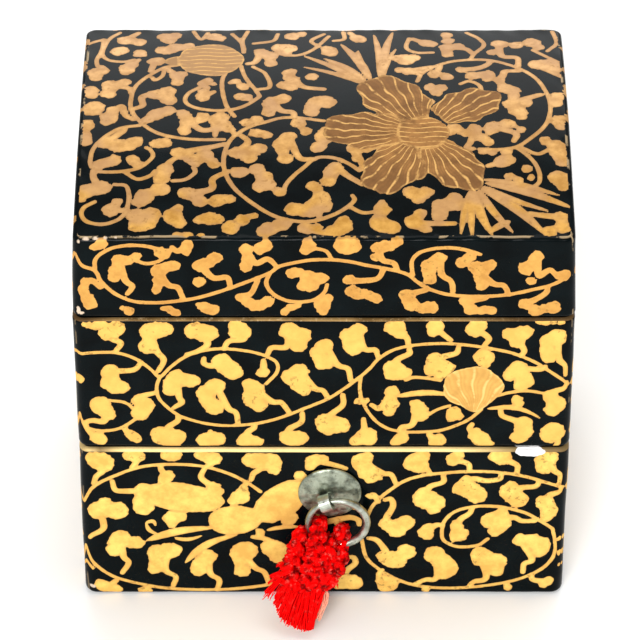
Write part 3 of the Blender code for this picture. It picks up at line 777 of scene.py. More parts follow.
def paint_flower(panel):
    heart = FLOWER_HEART[:2]
    oval(panel, 68.5, 50.4, 1.9, 2.4, 0, "petal")
    for x, y, long, short, turn in PETALS:
        inside = oval(panel, x, y, long, short, turn, "petal", 0.06, 7, over=True)
        fan_lines(panel, inside, heart, math.degrees(math.atan2(y - heart[1], x - heart[0])), 8.5)
    oval(panel, 20.4, 12.6, 3.0, 2.0, 0, "petal")
    for x, y, radius in (FLOWER_HEART, ROUND_BUD):
        inside = oval(panel, x, y, radius, radius * 0.96, 0, "petal", 0.02, over=True)
        level_lines(panel, inside, y, 1.5)


def paint_bud(panel):
    """The fan-shaped bud on the front of the middle tier."""
    for x, y, long, short, turn in ((79.9, 17.6, 6.1, 5.4, 0), (80.3, 20.6, 3.6, 2.9, 90)):
        oval(panel, x, y, long, short, turn, "petal", 0.03)
    fan_lines(panel, panel.petal < 0.3, (80.4, 26.0), -93, 17)
    panel.dabs([(92.6, 0.3, 0.5), (94.0, 0.6, 0.5), (95.5, 0.3, 0.45), (97.2, 0.6, 0.5)])


# %% [markdown]
# ## Shells
# A shell is the whole skin of one tier or of the lid: its underside, the painted wall, the rim
# and the bare inside. Its profile is a list of rows, and every row is one rounded rectangle.
# The strip is one bmesh grid. Its ends are merged and its two openings are filled.

# %% Building a shell
COLUMN_STEPS = (0.36, 0.46, 0.5)
ROW_STEP = 0.42
SHARP = math.radians(50)
NO_CHIP = -2.0
RIM_CHAMFER = 0.6
PAINTED_TO = 0.5


def wall_rows(bottom, top, step):
    return list(np.linspace(bottom, top, max(2, round((top - bottom) / step) + 1)))


def grid_mesh(name, sizes):
    """Flat bmesh grids in one mesh, with the row and column of each point."""
    bm = bmesh.new()
    for wide, high in sizes:
        bmesh.ops.create_grid(bm, x_segments=wide, y_segments=high, size=1.0)
    mesh = bpy.data.meshes.new(name)
    bm.to_mesh(mesh)
    bm.free()
    flat = np.empty(len(mesh.vertices) * 3)
    mesh.vertices.foreach_get("co", flat)
    flat = (flat.reshape(-1, 3)[:, :2] + 1) / 2
    start, index = 0, []
    for wide, high in sizes:
        part = flat[start:start + (wide + 1) * (high + 1)]
        index.append(np.rint(part * (wide, high)).astype(int))
        start += len(part)
    return mesh, index


def close_mesh(mesh):
    """Merge the seam, fill the floor and the underside, and turn every face outward."""
    bm = bmesh.new()
    bm.from_mesh(mesh)
    bmesh.ops.remove_doubles(bm, verts=bm.verts, dist=1e-6)
    bmesh.ops.holes_fill(bm, edges=[edge for edge in bm.edges if edge.is_boundary], sides=0)
    bmesh.ops.recalc_face_normals(bm, faces=bm.faces)
    bm.to_mesh(mesh)
    loose = sum(1 for edge in bm.edges if not edge.is_manifold)
    triangles = sum(len(face.verts) - 2 for face in bm.faces)
    bm.free()
    mesh.shade_smooth()
    mesh.set_sharp_from_angle(angle=SHARP)
    print(mesh.name, "triangles", triangles, "open edges", loose)


def hand_made(along, z):
    """How far, in mm, the lacquered wall wanders from a true plane."""
    turn = along / AROUND * 2 * math.pi
    return (0.05 * np.sin(5 * turn + 0.11 * z) + 0.035 * np.sin(11 * turn - 0.23 * z + 1.0)
            + 0.02 * np.sin(23 * turn + 0.4 * z + 2.0))


def shell_piece(name, mesh, body, node):
    piece = add_object(name, mesh)
    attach(piece, body)
    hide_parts(node)
    return piece


def tier_shell(name, node, profile, top, paint, chip_and_glint_spots=()):
    """profile rows: inset, height, corner radius and 1 on a gilded rim, from the underside up."""
    cols = columns(*COLUMN_STEPS)
    mesh, (grid,) = grid_mesh(name, [(len(cols) - 1, len(profile) - 1)])
    rows = np.array(profile)
    col, row = grid[:, 0], grid[:, 1]
    along = cols[col]
    inset, z, radius, rim = rows[row].T
    outside = (inset < 1.0) & (z > 0.2)
    inset = inset - np.where(outside, hand_made(along, z), 0)
    depth = chip_and_glint_depth(along, top - z, chip_and_glint_spots)
    x, y = ring_points(along, inset + depth.clip(0) * (inset < WALL - 0.5), radius)
    points = np.stack([x, y, z - 0.6 * depth.clip(0) * (z > top - 0.4)], 1) * MM
    mesh.vertices.foreach_set("co", points.ravel())
    panel = Panel(fold(along), top - z)
    paint_round(panel, along, *paint)
    panel.gold[inset > PAINTED_TO] = FAR
    panel.petal[inset > PAINTED_TO] = FAR
    panel.store(mesh)
    store(mesh, rim=rim, chip_and_glint=depth, edge=np.where(inset < 1, corner_share(along), 0))
    close_mesh(mesh)
    return shell_piece(name, mesh, "box", node)


def paint_round(panel, along, scroll, feature, filling, back):
    """The scroll on front and sides, its feature on the front alone, and the back's own scroll."""
    folded = panel.u
    scroll(panel)
    panel.u = np.where(along <= WIDE, folded, NOWHERE)
    feature(panel)
    panel.u = np.where(along > WIDE, folded, NOWHERE)
    filling(panel)
    panel.u = np.where((along > WIDE + DEEP) & (along < AROUND - DEEP), AROUND - DEEP - along, NOWHERE)
    back(panel)


def chip_and_glint_depth(along, down, chip_and_glint_spots):
    """Depth in mm of chips in the lacquer and of the small dents under painted highlights, negative away from
    both, from oval spots.
    """
    depth = np.full(len(along), NO_CHIP)
    for x, y, long, high, deep in chip_and_glint_spots:
        ragged = 0.05 * np.sin(2.1 * along + 1.0) + 0.04 * np.sin(4.3 * along + 2.0 * down)
        spot = 1 - np.hypot((along - x) / long, (down - y) / high) + ragged
        depth = np.maximum(depth, np.minimum(spot * 2.2 * deep, deep))
    return depth


def rim_profile(top):
    """A gilded chamfer, a line left black inside it as painted shade beside the gap under the piece above,
    and a gilded rim.
    """
    half = RIM_CHAMFER / 2
    # The row left black at 0.95 mm paints the shade of the gap under the piece above.
    return [(half, top - half, CORNER - half, 1), (RIM_CHAMFER, top, CORNER - RIM_CHAMFER, 1),
            (0.95, top, INNER_CORNER, 0), (1.8, top, INNER_CORNER, 1),
            (WALL - 0.3, top, INNER_CORNER, 0.6), (WALL, top - 0.3, INNER_CORNER, 0)]


def inside_profile(top, floor):
    return [(WALL, top - share * (top - floor), INNER_CORNER, 0) for share in (0.1, 0.35, 0.7, 1.0)]


# %% [markdown]
# ## Base tier
# The lowest tier stands on the table. Its foot edge is worn round, and a flake of lacquer is
# missing from its front rim, where the white ground shows.

# %% Base tier


def base_scroll(panel):
    paint_vines(panel, BASE_VINES, 0.36)
    paint_leaves(panel, BASE_LEAVES)
    paint_blades(panel, BASE_BLADES)


def base_lobes(panel):
    for x, y, long, short, turn in BASE_LOBES:
        oval(panel, x, y, long, short, turn, "gold", 0.02, 3)


def base_filling(panel):
    paint_leaves(panel, """
    20 12.6 1.9, 22.8 14.2 1.7 | 19 15.6, 18 17.2
    30.6 18.6 1.9, 33 20.4 1.6 | 29.6 21, 28 22
    40.6 15.6 2, 38.8 17.4 1.5 | 42.6 13, 41.6 10.4
    """)


def middle_scroll(panel):
    paint_vines(panel, MIDDLE_VINES, 0.33)
    paint_leaves(panel, MIDDLE_LEAVES)
    paint_blades(panel, MIDDLE_BLADES)


def middle_filling(panel):
    paint_leaves(panel, """
    78 15.4 1.9, 80.6 17 1.8, 79 19.4 1.5 | 82.4 19.4, 84.4 19.6
    """)


def base_back(panel):
    """The base's back borrows the middle tier's scroll, with one more row of leaves below it."""
    middle_scroll(panel)
    middle_filling(panel)
    paint_leaves(panel, "\n".join(f"{x} {36.6 + x % 3} 1.5, {x + 2.4} {37.4 - x % 2} 1.2 | {x + 1.5} 34.4"
                                  for x in range(5, 98, 9)))


def middle_back(panel):
    base_scroll(panel)
    base_filling(panel)
    paint_leaves(panel, """
    46.6 7 2, 49.2 8.2 1.7 | 50.6 10.4, 49.6 12.6
    56.4 13.2 1.9, 58.6 15 1.6 | 55 16.6, 53.2 18.6
    47 18 1.9, 45.4 20.4 1.5 | 49.4 20.6, 51.4 21.8
    55.6 5.6 1.8, 58 6.8 1.5 | 53.4 7.6, 52 9.6
    """)


FOOT, FOOT_CORNER, FOOT_RISE = 1.1, 2.6, 4.4


def base_profile():
    rows = []
    for turn in np.linspace(math.pi / 2, 0, 5):
        inset = FOOT * (1 - math.cos(turn))
        rows.append((inset, FOOT * (1 - math.sin(turn)), FOOT_CORNER - inset, 0))
    for z in wall_rows(FOOT, BASE_TOP - RIM_CHAMFER, ROW_STEP)[1:]:
        share = min(1.0, (z - FOOT) / FOOT_RISE)
        rows.append((0, z, FOOT_CORNER + (CORNER - FOOT_CORNER) * share, 0))
    last = (*rows.pop()[:3], 0.7)
    return rows + [last] + rim_profile(BASE_TOP) + inside_profile(BASE_TOP, FLOOR)


# along, down, half length, half height and depth
BASE_CHIPS = ((92.1, 0.75, 3.1, 1.25, 0.4), (1.1, 38.4, 0.9, 0.6, 0.08))
base_shell = tier_shell("base_tier_lacquer", "base_tier", base_profile(), BASE_TOP,
                        (base_scroll, base_lobes, base_filling, base_back), BASE_CHIPS)

# %% [markdown]
# ## Middle tier
# The middle tier has no foot: its floor drops into the tier below.

# %% Middle tier


LOWER_EDGE_END = 1.1


def lower_edge(bottom):
    """The rounded lower edge of an upper piece, which leaves a dark line over the gilded rim."""
    return [(1.2, bottom, CORNER - 1.2, 0), (0.3, bottom + 0.5, CORNER - 0.3, 0),
            (0.08, bottom + 0.72, CORNER, 0)]


def middle_profile():
    seat = MIDDLE_BOTTOM - SEAT
    rows = [(WALL + FIT, seat, INNER_CORNER, 0), (WALL + FIT, MIDDLE_BOTTOM, INNER_CORNER, 0)]
    rows += lower_edge(MIDDLE_BOTTOM)
    wall = wall_rows(MIDDLE_BOTTOM + LOWER_EDGE_END, MIDDLE_TOP - RIM_CHAMFER, ROW_STEP)
    rows += [(0, z, CORNER, 0) for z in wall]
    return rows + rim_profile(MIDDLE_TOP) + inside_profile(MIDDLE_TOP, seat + FLOOR)


middle_shell = tier_shell("middle_tier_lacquer", "middle_tier", middle_profile(), MIDDLE_TOP,
                          (middle_scroll, paint_bud, middle_filling, middle_back))

# %% [markdown]
# ## Lid
# The lid's wall and its arched top are two grids that share their edge: the top grid's border
# has one point for every column of the wall. The arch lifts both.

# %% The arch of the lid
CREASE_ROUND = 0.9
LID_THICK = 3.5
LID_ROW_STEP = 0.41
SAG, SAG_FROM = 0.95, 10


def crown(y):
    half = HALF[1] - TAPER
    arch = (half ** 2 + CROWN ** 2) / (2 * CROWN)
    return np.sqrt(arch ** 2 - np.minimum(np.abs(y), half) ** 2) - (arch - CROWN)


def lumps(x, y):
    """The ridge round the lid's top is a little lumpy, as brushed lacquer is."""
    return (0.07 * np.sin(0.21 * x + 0.13 * y) + 0.05 * np.sin(0.53 * x - 0.31 * y + 1)
            + 0.04 * np.sin(1.3 * x + 0.9 * y))


def sag(y):
    """The lid's front ridge is rubbed down lower than the back one."""
    share = np.clip((SAG_FROM - y) / (SAG_FROM + HALF[1]), 0, 1)
    return -SAG * share * share * (3 - 2 * share)


def lid_profile():
    """Rows from the ceiling down inside, under the lip, and up outside to the crease."""
    inner = WALL + FIT + LID_LIP
    ceiling, lip = CREASE - LID_THICK, LID_BOTTOM - SEAT
    rows = [(inner, ceiling, INNER_CORNER, 1), (inner, ceiling - 6, INNER_CORNER, 0.5),
            (inner, lip, INNER_CORNER, 0), (WALL + FIT, lip, INNER_CORNER, 0),
            (WALL + FIT, LID_BOTTOM, INNER_CORNER, 0)]
    rows += [(inset, z, radius, 0) for inset, z, radius, _ in lower_edge(LID_BOTTOM)]
    wall_top = CREASE - CREASE_ROUND
    for z in wall_rows(LID_BOTTOM + LOWER_EDGE_END, wall_top, LID_ROW_STEP):
        share = (z - LID_BOTTOM) / (wall_top - LID_BOTTOM)
        rows.append((TAPER * share, z, CORNER, share))
    for turn in np.linspace(0, math.pi / 2, 5)[1:]:
        inset = CREASE_ROUND * (1 - math.cos(turn))
        rows.append((TAPER + inset, wall_top + CREASE_ROUND * math.sin(turn), CORNER - inset, 1))
    return np.array(rows)


# %% [markdown]
# The lid's top is stretched between its four borders, which are points of the wall's upper edge.

# %% Lid
LID_FRONT_STEPS, LID_SIDE_STEPS = 250, 170
# Two chips at the lid's lower left corner, then small spots along the left end of the front ridge that are
# painted highlights: pale glints in shallow dents.
LID_CHIPS_AND_GLINTS = ((0.9, 18.5, 0.6, 1.1, 0.2), (1.7, 19.1, 0.8, 0.45, 0.2), (0.9, 0.7, 0.5, 0.5, 0.06),
             (2.6, 0.2, 0.8, 0.26, 0.06), (4.6, 0.15, 0.8, 0.2, 0.06), (6.6, 0.15, 0.6, 0.16, 0.05),
             (8.6, 0.1, 0.4, 0.14, 0.05))
LID_PHASE = 40
RIDGE_HEIGHT, RIDGE_WIDTH = 2.5, 1.5
# Width of the ridge's rubbed top, which also carries a painted highlight.
RIDGE_WEAR_AND_GLEAM_WIDTH = 0.8
TOP_STRETCH, TOP_START = 1.033, 1.5


def band_scroll(panel):
    paint_vines(panel, BAND_VINES, 0.38)
    paint_leaves(panel, BAND_LEAVES)


def bare(panel):
    """No painting of its own here."""


def lid_columns(n, m):
    runs = ((0, WIDE, n), (WIDE, WIDE + DEEP, m), (WIDE + DEEP, AROUND - DEEP, n), (AROUND - DEEP, AROUND, m))
    return np.concatenate([np.linspace(a, b, steps, endpoint=False) for a, b, steps in runs] + [[AROUND]])


def stretched(s, t, edge):
    """Points of the lid's top, s across and t back, blended from its four borders (a Coons patch)."""
    borders = (s * WIDE, AROUND - DEEP - s * WIDE, AROUND - t * DEEP, WIDE + t * DEEP)
    front, back, left, right = (ring_points(along, *edge) for along in borders)
    corners = ring_points(np.array([0.0, WIDE, WIDE + DEEP, AROUND - DEEP]), *edge)
    weights = ((1 - s) * (1 - t), s * (1 - t), s * t, (1 - s) * t)
    for axis in (0, 1):
        sides = (1 - t) * front[axis] + t * back[axis] + (1 - s) * left[axis] + s * right[axis]
        yield sides - sum(weight * corner for weight, corner in zip(weights, corners[axis]))


def lid_shell():
    rows = lid_profile()
    n, m = LID_FRONT_STEPS, LID_SIDE_STEPS
    mesh, (wall, top) = grid_mesh("lid_lacquer", [(2 * (n + m), len(rows) - 1), (n, m)])
    along = lid_columns(n, m)[wall[:, 0]]
    inset, z, radius, lift = rows[wall[:, 1]].T
    outside = inset < WALL - 1
    down = CREASE - z
    depth = chip_and_glint_depth(along, down, LID_CHIPS_AND_GLINTS)
    bend = np.where(outside, hand_made(along + LID_PHASE, z), 0) * np.clip(down / 3, 0, 1)
    x, y = ring_points(along, inset - bend + depth.clip(0) * outside, radius)
    crease = outside * np.clip(1 - down / RIDGE_HEIGHT, 0, 1)
    # The top of the ridge is rubbed edge; on the front, towards both ends, its pale line is also a painted
    # highlight.
    worn_and_gleaming_ridge = outside * np.clip(1 - down / RIDGE_WEAR_AND_GLEAM_WIDTH, 0, 1)
    wall_edge = np.maximum(np.where(outside, corner_share(along), 0), worn_and_gleaming_ridge)
    z = z + lift * (crown(y) + sag(y)) + crease * lumps(x, y)

    tx, ty = stretched(top[:, 0] / n, top[:, 1] / m, (TAPER + CREASE_ROUND, CORNER - CREASE_ROUND))
    border = np.minimum(HALF[0] - np.abs(tx), HALF[1] - np.abs(ty)) - TAPER - CREASE_ROUND
    tz = CREASE + crown(ty) + sag(ty) + lumps(tx, ty) * np.exp(-border.clip(0) / RIDGE_WIDTH)
    points = np.concatenate([np.stack([x, y, z], 1), np.stack([tx, ty, tz], 1)]) * MM
    mesh.vertices.foreach_set("co", points.ravel())

    band = Panel(fold(along), down)
    paint_round(band, along, band_scroll, bare, bare, band_scroll)
    plane = Panel(tx + HALF[0], (HALF[1] - TAPER - ty) * TOP_STRETCH - TOP_START)
    paint_vines(plane, TOP_VINES, 0.36)
    paint_leaves(plane, TOP_LEAVES)
    paint_blades(plane, TOP_BLADES)
    paint_flower(plane)
    band.gold[~outside] = FAR
    for name in FIELDS:
        setattr(band, name, np.concatenate([getattr(band, name), getattr(plane, name)]))
    band.store(mesh)
    chip_and_glint = np.concatenate([depth, np.full(len(tx), NO_CHIP)])
    edge = np.concatenate([wall_edge, np.clip(1 - border, 0, 1)])
    store(mesh, rim=np.zeros(len(points)), chip_and_glint=chip_and_glint, edge=edge)
    close_mesh(mesh)
    return shell_piece("lid_lacquer", mesh, "box", "lid")


lid_piece = lid_shell()

# %% [markdown]
# ## Lacquer and gold
# Urushi lacquer is nearly black with a little blue in it, and glossy. The gold is a matt
# powdery paint with some metal in it, browner on the lid's top, where shade is painted into it, with a paler
# painted sheen towards the back.

# %% Lacquer with the scroll
# Each pair is the darker and the lighter tone of one paint.
BLACK = (0.0004, 0.0014, 0.0016), (0.0016, 0.0044, 0.0052)
BRIGHT_GOLD = (0.76, 0.44, 0.10), (0.96, 0.66, 0.165)
OCHRE_GOLD = (0.56, 0.27, 0.063), (0.72, 0.40, 0.10)
# The lid top's gold: painted shade darkens it, and towards the back a paler painted sheen lightens it.
NEAR_TOP_SHADED_GOLD = (0.40, 0.195, 0.035), (0.61, 0.335, 0.08)
FAR_TOP_SHADED_SHEEN_GOLD = (0.42, 0.235, 0.11), (0.70, 0.43, 0.21)
COPPER = (0.13, 0.058, 0.019), (0.40, 0.190, 0.056)
BUD_GOLD = (0.64, 0.35, 0.09), (0.80, 0.46, 0.125)
# The rim's brown is worn gold with the lid's shade painted into it.
RIM_WORN_SHADED_BROWN = (0.15, 0.085, 0.028), (0.46, 0.28, 0.10)
# Each pair is the tone on the tiers and the tone on the lid; the leaf outline's lid tone, on the lid's top,
# is darker with the top's painted shade.
LEAF_OUTLINE = (0.66, 0.33, 0.09), (0.36, 0.19, 0.07)
FINE_LINE = (0.56, 0.29, 0.07), (0.15, 0.075, 0.025)
LIGHT_LINE = (0.93, 0.62, 0.22), (0.74, 0.43, 0.14)
CHIP_WHITE, CHIP_AND_GLINT_CREAM, WORN_AND_GLEAM_CREAM = (0.94, 0.92, 0.90), (0.64, 0.50, 0.37), (0.56, 0.40, 0.22)
HEART_X, HEART_Y = 0.0199, -0.0041


class Lacquer(Finish):
    """The lacquer's material, with the noises, places and distances that its layers share."""

    def __init__(self):
        super().__init__("painted_lacquer", Specular_IOR_Level=0.03, Coat_Roughness=0.06)
        self.cloud, self.patch = self.spots(140, 3), self.spots(110, 2)
        self.brush, self.grit = self.spots(420, 4, 0.65), self.spots(1700, 3, 0.6)
        axes = self.node("ShaderNodeSeparateXYZ", Vector=self.place).socket.node.outputs
        self.across, self.depth, self.height = (Paint(self.tree, axes[axis]) for axis in "XYZ")
        self.on_top = self.height.ramp((CREASE - 1.6) * MM, (CREASE - 1.0) * MM)
        self.on_lid = self.height.ramp(0.0750, 0.0754)
        self.worn = (self.brush * 0.6 + self.patch * 0.4).ramp(0.40, 0.62)
        ragged = (self.grit - 0.5) * 0.11
        self.gold_gap = self.value("gold") + ragged - 0.05 - self.on_top * 0.06
        self.petal_gap = self.value("petal") + ragged

    def leaf(self):
        """Bright gold on the tiers, ochre on the lid's band and browner on its top, where shade is painted
        in, paler towards the back with a painted sheen.
        """
        bright = self.mix(self.worn, *BRIGHT_GOLD)
        bright = self.mix(self.height.ramp(0.040, 0.042) * 0.5, bright, (0.78, 0.45, 0.105))
        # Painted shade on the lid's top, with a paler painted sheen towards its back.
        near_top_shaded, far_top_sheen = self.mix(self.worn, *NEAR_TOP_SHADED_GOLD), self.mix(self.worn, *FAR_TOP_SHADED_SHEEN_GOLD)
        top = self.mix(self.depth.ramp(-0.030, 0.034), near_top_shaded, far_top_sheen)
        top = self.mix(self.spots(130, 1).ramp(0.46, 0.60) * 0.55, top, (0.40, 0.225, 0.115))
        leaf = self.mix(self.on_top, self.mix(self.on_lid, bright, self.mix(self.worn, *OCHRE_GOLD)), top)
        outline = self.gold_gap.ramp(-0.42, -0.16) * 0.55
        leaf = self.mix(outline, leaf, self.mix(self.on_top, *LEAF_OUTLINE))
        scratch = self.spots(1100, 2, 0.5).ramp(0.60, 0.66) * self.spots(75, 1).ramp(0.53, 0.60)
        return self.mix(scratch * 0.55, leaf, (0.28, 0.14, 0.04))

    def flower(self):
        """Copper petals, darker outward, with fine dark lines and light ones over them."""
        copper = self.mix(self.spots(300, 4, 0.65).ramp(0.3, 0.7), *COPPER)
        from_x, from_y = self.across - HEART_X, self.depth - HEART_Y
        reach = (from_x * from_x + from_y * from_y).math("SQRT")
        copper = self.mix(reach.ramp(0.006, 0.016) * 0.65, copper, (0.155, 0.070, 0.025))
        copper = self.mix(self.across.ramp(0.0, -0.008) * 0.9, copper, (0.42, 0.24, 0.105))
        flower = self.mix(self.on_lid, self.mix(self.worn, *BUD_GOLD), copper)
        fan = self.value("fan") + (self.brush - 0.5) * 0.25
        fine = ((fan * 3.0).math("FRACT") - 0.5).math("ABSOLUTE").ramp(0.40, 0.10)
        flower = self.mix(fine * 0.35, flower, self.mix(self.on_lid, *FINE_LINE))
        step = (fan + 0.5).math("FRACT") - 0.5
        line = step.math("ABSOLUTE").ramp(0.14, 0.04) * self.brush.ramp(0.36, 0.52)
        border = self.petal_gap.ramp(-0.45, -0.22) * self.petal_gap.ramp(0.02, -0.10)
        border = border * self.brush.ramp(0.38, 0.60)
        line = line.most(border * (0.75 - self.on_lid * 0.15))
        return self.mix(line * 0.75, flower, self.mix(self.on_lid, *LIGHT_LINE))

    def gilded_rim(self):
        """Yellow between the two tiers, brown under the lid, where it is worn and the lid's shade is painted
        in, and darker at both ends.
        """
        # Brown rim under the lid: wear, and painted shade from the lid's overhang.
        worn_shaded_brown = self.mix(self.patch.ramp(0.40, 0.55) * 0.6, *RIM_WORN_SHADED_BROWN)
        gold = self.mix(self.height.ramp(0.06, 0.07), (0.90, 0.66, 0.28), worn_shaded_brown)
        gold = self.mix(self.grit.ramp(0.55, 0.68) * 0.6, gold, (0.66, 0.48, 0.26))
        left_end = self.across.ramp(-0.040, -0.047) * self.patch.ramp(0.35, 0.55)
        right_end = self.across.ramp(0.028, 0.040) * 0.85
        return self.mix(left_end.most(right_end), gold, (0.10, 0.055, 0.022))

    def rubbed_and_gleaming_edges(self):
        """Edges where the black is rubbed through; on the lid's front ridge, most at its two ends, the pale
        line is also a painted highlight.
        """
        streak = self.spots(170, 2) * 0.65 + self.brush * 0.35
        ridge = self.height.ramp((CREASE - 2.4) * MM, (CREASE - 1.8) * MM)
        gleaming_ridge_ends = self.across.ramp(-0.020, -0.024).most(self.across.ramp(0.030, 0.034))
        gleaming_ridge_ends = gleaming_ridge_ends * ridge * self.depth.ramp(-0.030, -0.034)
        rubbed_and_gleam = self.value("edge").ramp(0.82, 0.98) * (streak + gleaming_ridge_ends * 0.07).ramp(0.56, 0.59)
        return rubbed_and_gleam * (self.on_lid * 0.35 + 0.3)


def lacquer_finish():
    skin = Lacquer()
    gold, petal = skin.gold_gap.ramp(0.03, -0.03), skin.petal_gap.ramp(0.03, -0.03)
    chip_and_glint, rim = skin.value("chip_and_glint").ramp(0.0, 0.05), skin.value("rim").ramp(0.4, 0.6)
    black = skin.mix(skin.cloud.ramp(0.35, 0.7), *BLACK)
    # Cream where the black is rubbed through, partly a painted highlight on the lid's front ridge.
    colour = skin.mix(skin.rubbed_and_gleaming_edges(), black, WORN_AND_GLEAM_CREAM)
    # The white ground in chips, cream on the left, where it also paints the highlights on the lid's front
    # ridge.
    ground_and_glint = skin.mix(skin.across.ramp(0.01, 0.0), CHIP_WHITE, CHIP_AND_GLINT_CREAM)
    layers = ((gold, skin.leaf()), (petal, skin.flower()), (rim, skin.gilded_rim()), (chip_and_glint, ground_and_glint))
    for share, layer in layers:
        colour = skin.mix(share, colour, layer)
    painted = gold.most(petal).most(rim)
    skin.feed(Base_Color=colour, Metallic=painted * 0.3 * (1.0 - chip_and_glint),
              Roughness=0.22 + painted * 0.26 + chip_and_glint * 0.35 + skin.cloud * 0.08,
              Coat_Weight=(1.0 - painted.most(chip_and_glint)) * 0.07)
    waves = skin.spots(60, 2) * 0.8 + skin.spots(260, 2) * 0.25 + skin.brush * painted * 0.10
    skin.bump(waves + painted * 0.05, 0.0002, 0.5)
    return skin.material


LACQUER = lacquer_finish()
for piece in (base_shell, middle_shell, lid_piece):
    piece.data.materials.clear()
    piece.data.materials.append(LACQUER)

# %% [markdown]
# ## Metal
# The plate, the eye and the ring are dull grey metal with hammer marks and a worn sheen.

# %% Hammered metal


def metal_finish(name, dark, light):
    skin = Finish(name, Metallic=1.0)
    patch = skin.spots(420, 4, 0.6)
    pits = skin.spots(1600, 3, 0.6)
    colour = skin.mix(patch.ramp(0.34, 0.62), dark, light)
    colour = skin.mix(pits.ramp(0.60, 0.70) * 0.6, colour, (0.07, 0.06, 0.04))
    skin.feed(Base_Color=colour, Roughness=0.30 + patch * 0.22)
    skin.bump(skin.spots(700, 1) * 0.8 + pits * 0.3, 0.0002, 0.6)
    return skin.material


PLATE_METAL = metal_finish("plate_metal", (0.095, 0.11, 0.085), (0.42, 0.46, 0.36))
RING_METAL = metal_finish("ring_metal", (0.26, 0.28, 0.23), (0.55, 0.58, 0.50))

# %% [markdown]
# The plate is a thin disc, beaten into a low dome and dished where the eye goes through it. Its
# profile is spun round its own axis. The ring is a bent wire, thinnest at the eye, where it has
# worn, and thickest at the lower right.

# %% Plate and ring
PLATE, RING = box_mm("ring_plate"), box_mm("pull_ring")
PLATE_AXIS = Vector(((PLATE[0][0] + PLATE[1][0]) / 2, PLATE[1][1], (PLATE[0][2] + PLATE[1][2]) / 2))
PLATE_RADIUS = (PLATE[1][0] - PLATE[0][0]) / 2
ROUND_STEPS = 120
EYE_TURN = math.radians(113)
RING_CENTRE = (Vector(RING[0]) + Vector(RING[1])) / 2
WIRE_RADIUS = (RING[1][1] - RING[0][1]) / 2
RING_RADIUS = (RING[1][0] - RING[0][0]) / 2 - WIRE_RADIUS


def spun(profile, centre):
    """A closed or open profile of (radius, out) points, spun round an axis that faces the front."""
    bm = bmesh.new()
    verts = [bm.verts.new((radius * MM, -out * MM, 0)) for radius, out in profile]
    edges = [bm.edges.new(pair) for pair in zip(verts, verts[1:])]
    bmesh.ops.spin(bm, geom=verts + edges, cent=(0, 0, 0), axis=(0, 1, 0), angle=2 * math.pi,
                   steps=ROUND_STEPS, use_merge=True)
    bmesh.ops.remove_doubles(bm, verts=bm.verts, dist=1e-6)
    bmesh.ops.translate(bm, verts=bm.verts, vec=centre * MM)
    bmesh.ops.recalc_face_normals(bm, faces=bm.faces)
    return bm


def metal_piece(name, bm, body, node, metal):
    mesh = bpy.data.meshes.new(name)
    bm.to_mesh(mesh)
    bm.free()
    mesh.shade_smooth()
    mesh.set_sharp_from_angle(angle=SHARP)
    mesh.materials.append(metal)
    print(name, "faces", len(mesh.polygons))
    piece = add_object(name, mesh)
    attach(piece, body)
    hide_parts(node)


def plate_profile():
    rows = [(0, 0), (PLATE_RADIUS - 0.2, 0), (PLATE_RADIUS, 0.12), (PLATE_RADIUS, 0.3),
            (PLATE_RADIUS - 0.15, 0.45)]
    for radius in np.linspace(PLATE_RADIUS - 0.5, 0, 28):
        share = radius / PLATE_RADIUS
        dish = 0.35 * math.exp(-(radius / 1.9) ** 2)
        lip = 0.10 * math.exp(-((radius - PLATE_RADIUS + 0.5) / 0.35) ** 2)
        rows.append((radius, 0.40 + 0.9 * (1 - share ** 2) - dish + lip))
    return rows


def hammer(bm, centre, depth):
    for vert in bm.verts:
        place = vert.co / MM - centre
        if place.y < -0.35:
            vert.co.y += depth * MM * noise.noise(place * 0.9) - 0.02 * MM * noise.noise(place * 3)


plate = spun(plate_profile(), PLATE_AXIS)
hammer(plate, PLATE_AXIS, 0.09)
metal_piece("plate", plate, "box", "ring_plate", PLATE_METAL)


def ring_thickness(turn):
    """Share of the wire's full thickness, by the angle from the eye at the top left."""
    return 0.93 - 0.20 * math.exp(-(turn / 0.55) ** 2) + 0.10 * math.cos(turn - 2.2)


def ring_piece():
    around = [2 * math.pi * side / 16 for side in range(17)]
    profile = [(RING_RADIUS + WIRE_RADIUS * math.cos(t), WIRE_RADIUS * math.sin(t)) for t in around]
    bm = spun(profile, RING_CENTRE)
    for vert in bm.verts:
        place = vert.co / MM - RING_CENTRE
        turn = math.atan2(place.z, place.x)
        core = Vector((math.cos(turn), 0, math.sin(turn))) * RING_RADIUS
        away = math.remainder(EYE_TURN - turn, 2 * math.pi)
        vert.co = (RING_CENTRE + core + (place - core) * ring_thickness(away)) * MM
    return bm


metal_piece("ring", ring_piece(), "pull", "pull_ring", RING_METAL)
eye = bpy.data.objects["ring_eye"]
eye.data.materials.clear()
eye.data.materials.append(RING_METAL)

# %% [markdown]
# ## Tassel
# The silk cord is looped through the ring, plaited down on itself and let out into a fringe.
# It is drawn as six plaits, each of three strands, and every strand is three thin cords twisted
# together. Curves with a round bevel draw the cords and the threads, and become one mesh.
# Its places are given in its own frame: across, down its length, and out from the wall.

# %% Cords
TASSEL_START = Vector((-0.334, -38.75, 19.683))
DOWN = Vector((-4.0, -8.75, -18.13)).normalized()
OUT = -Vector((1, 0, 0)).cross(DOWN).normalized()


def hang(across, down, out):
    return TASSEL_START + Vector((across, 0, 0)) + DOWN * down + OUT * out


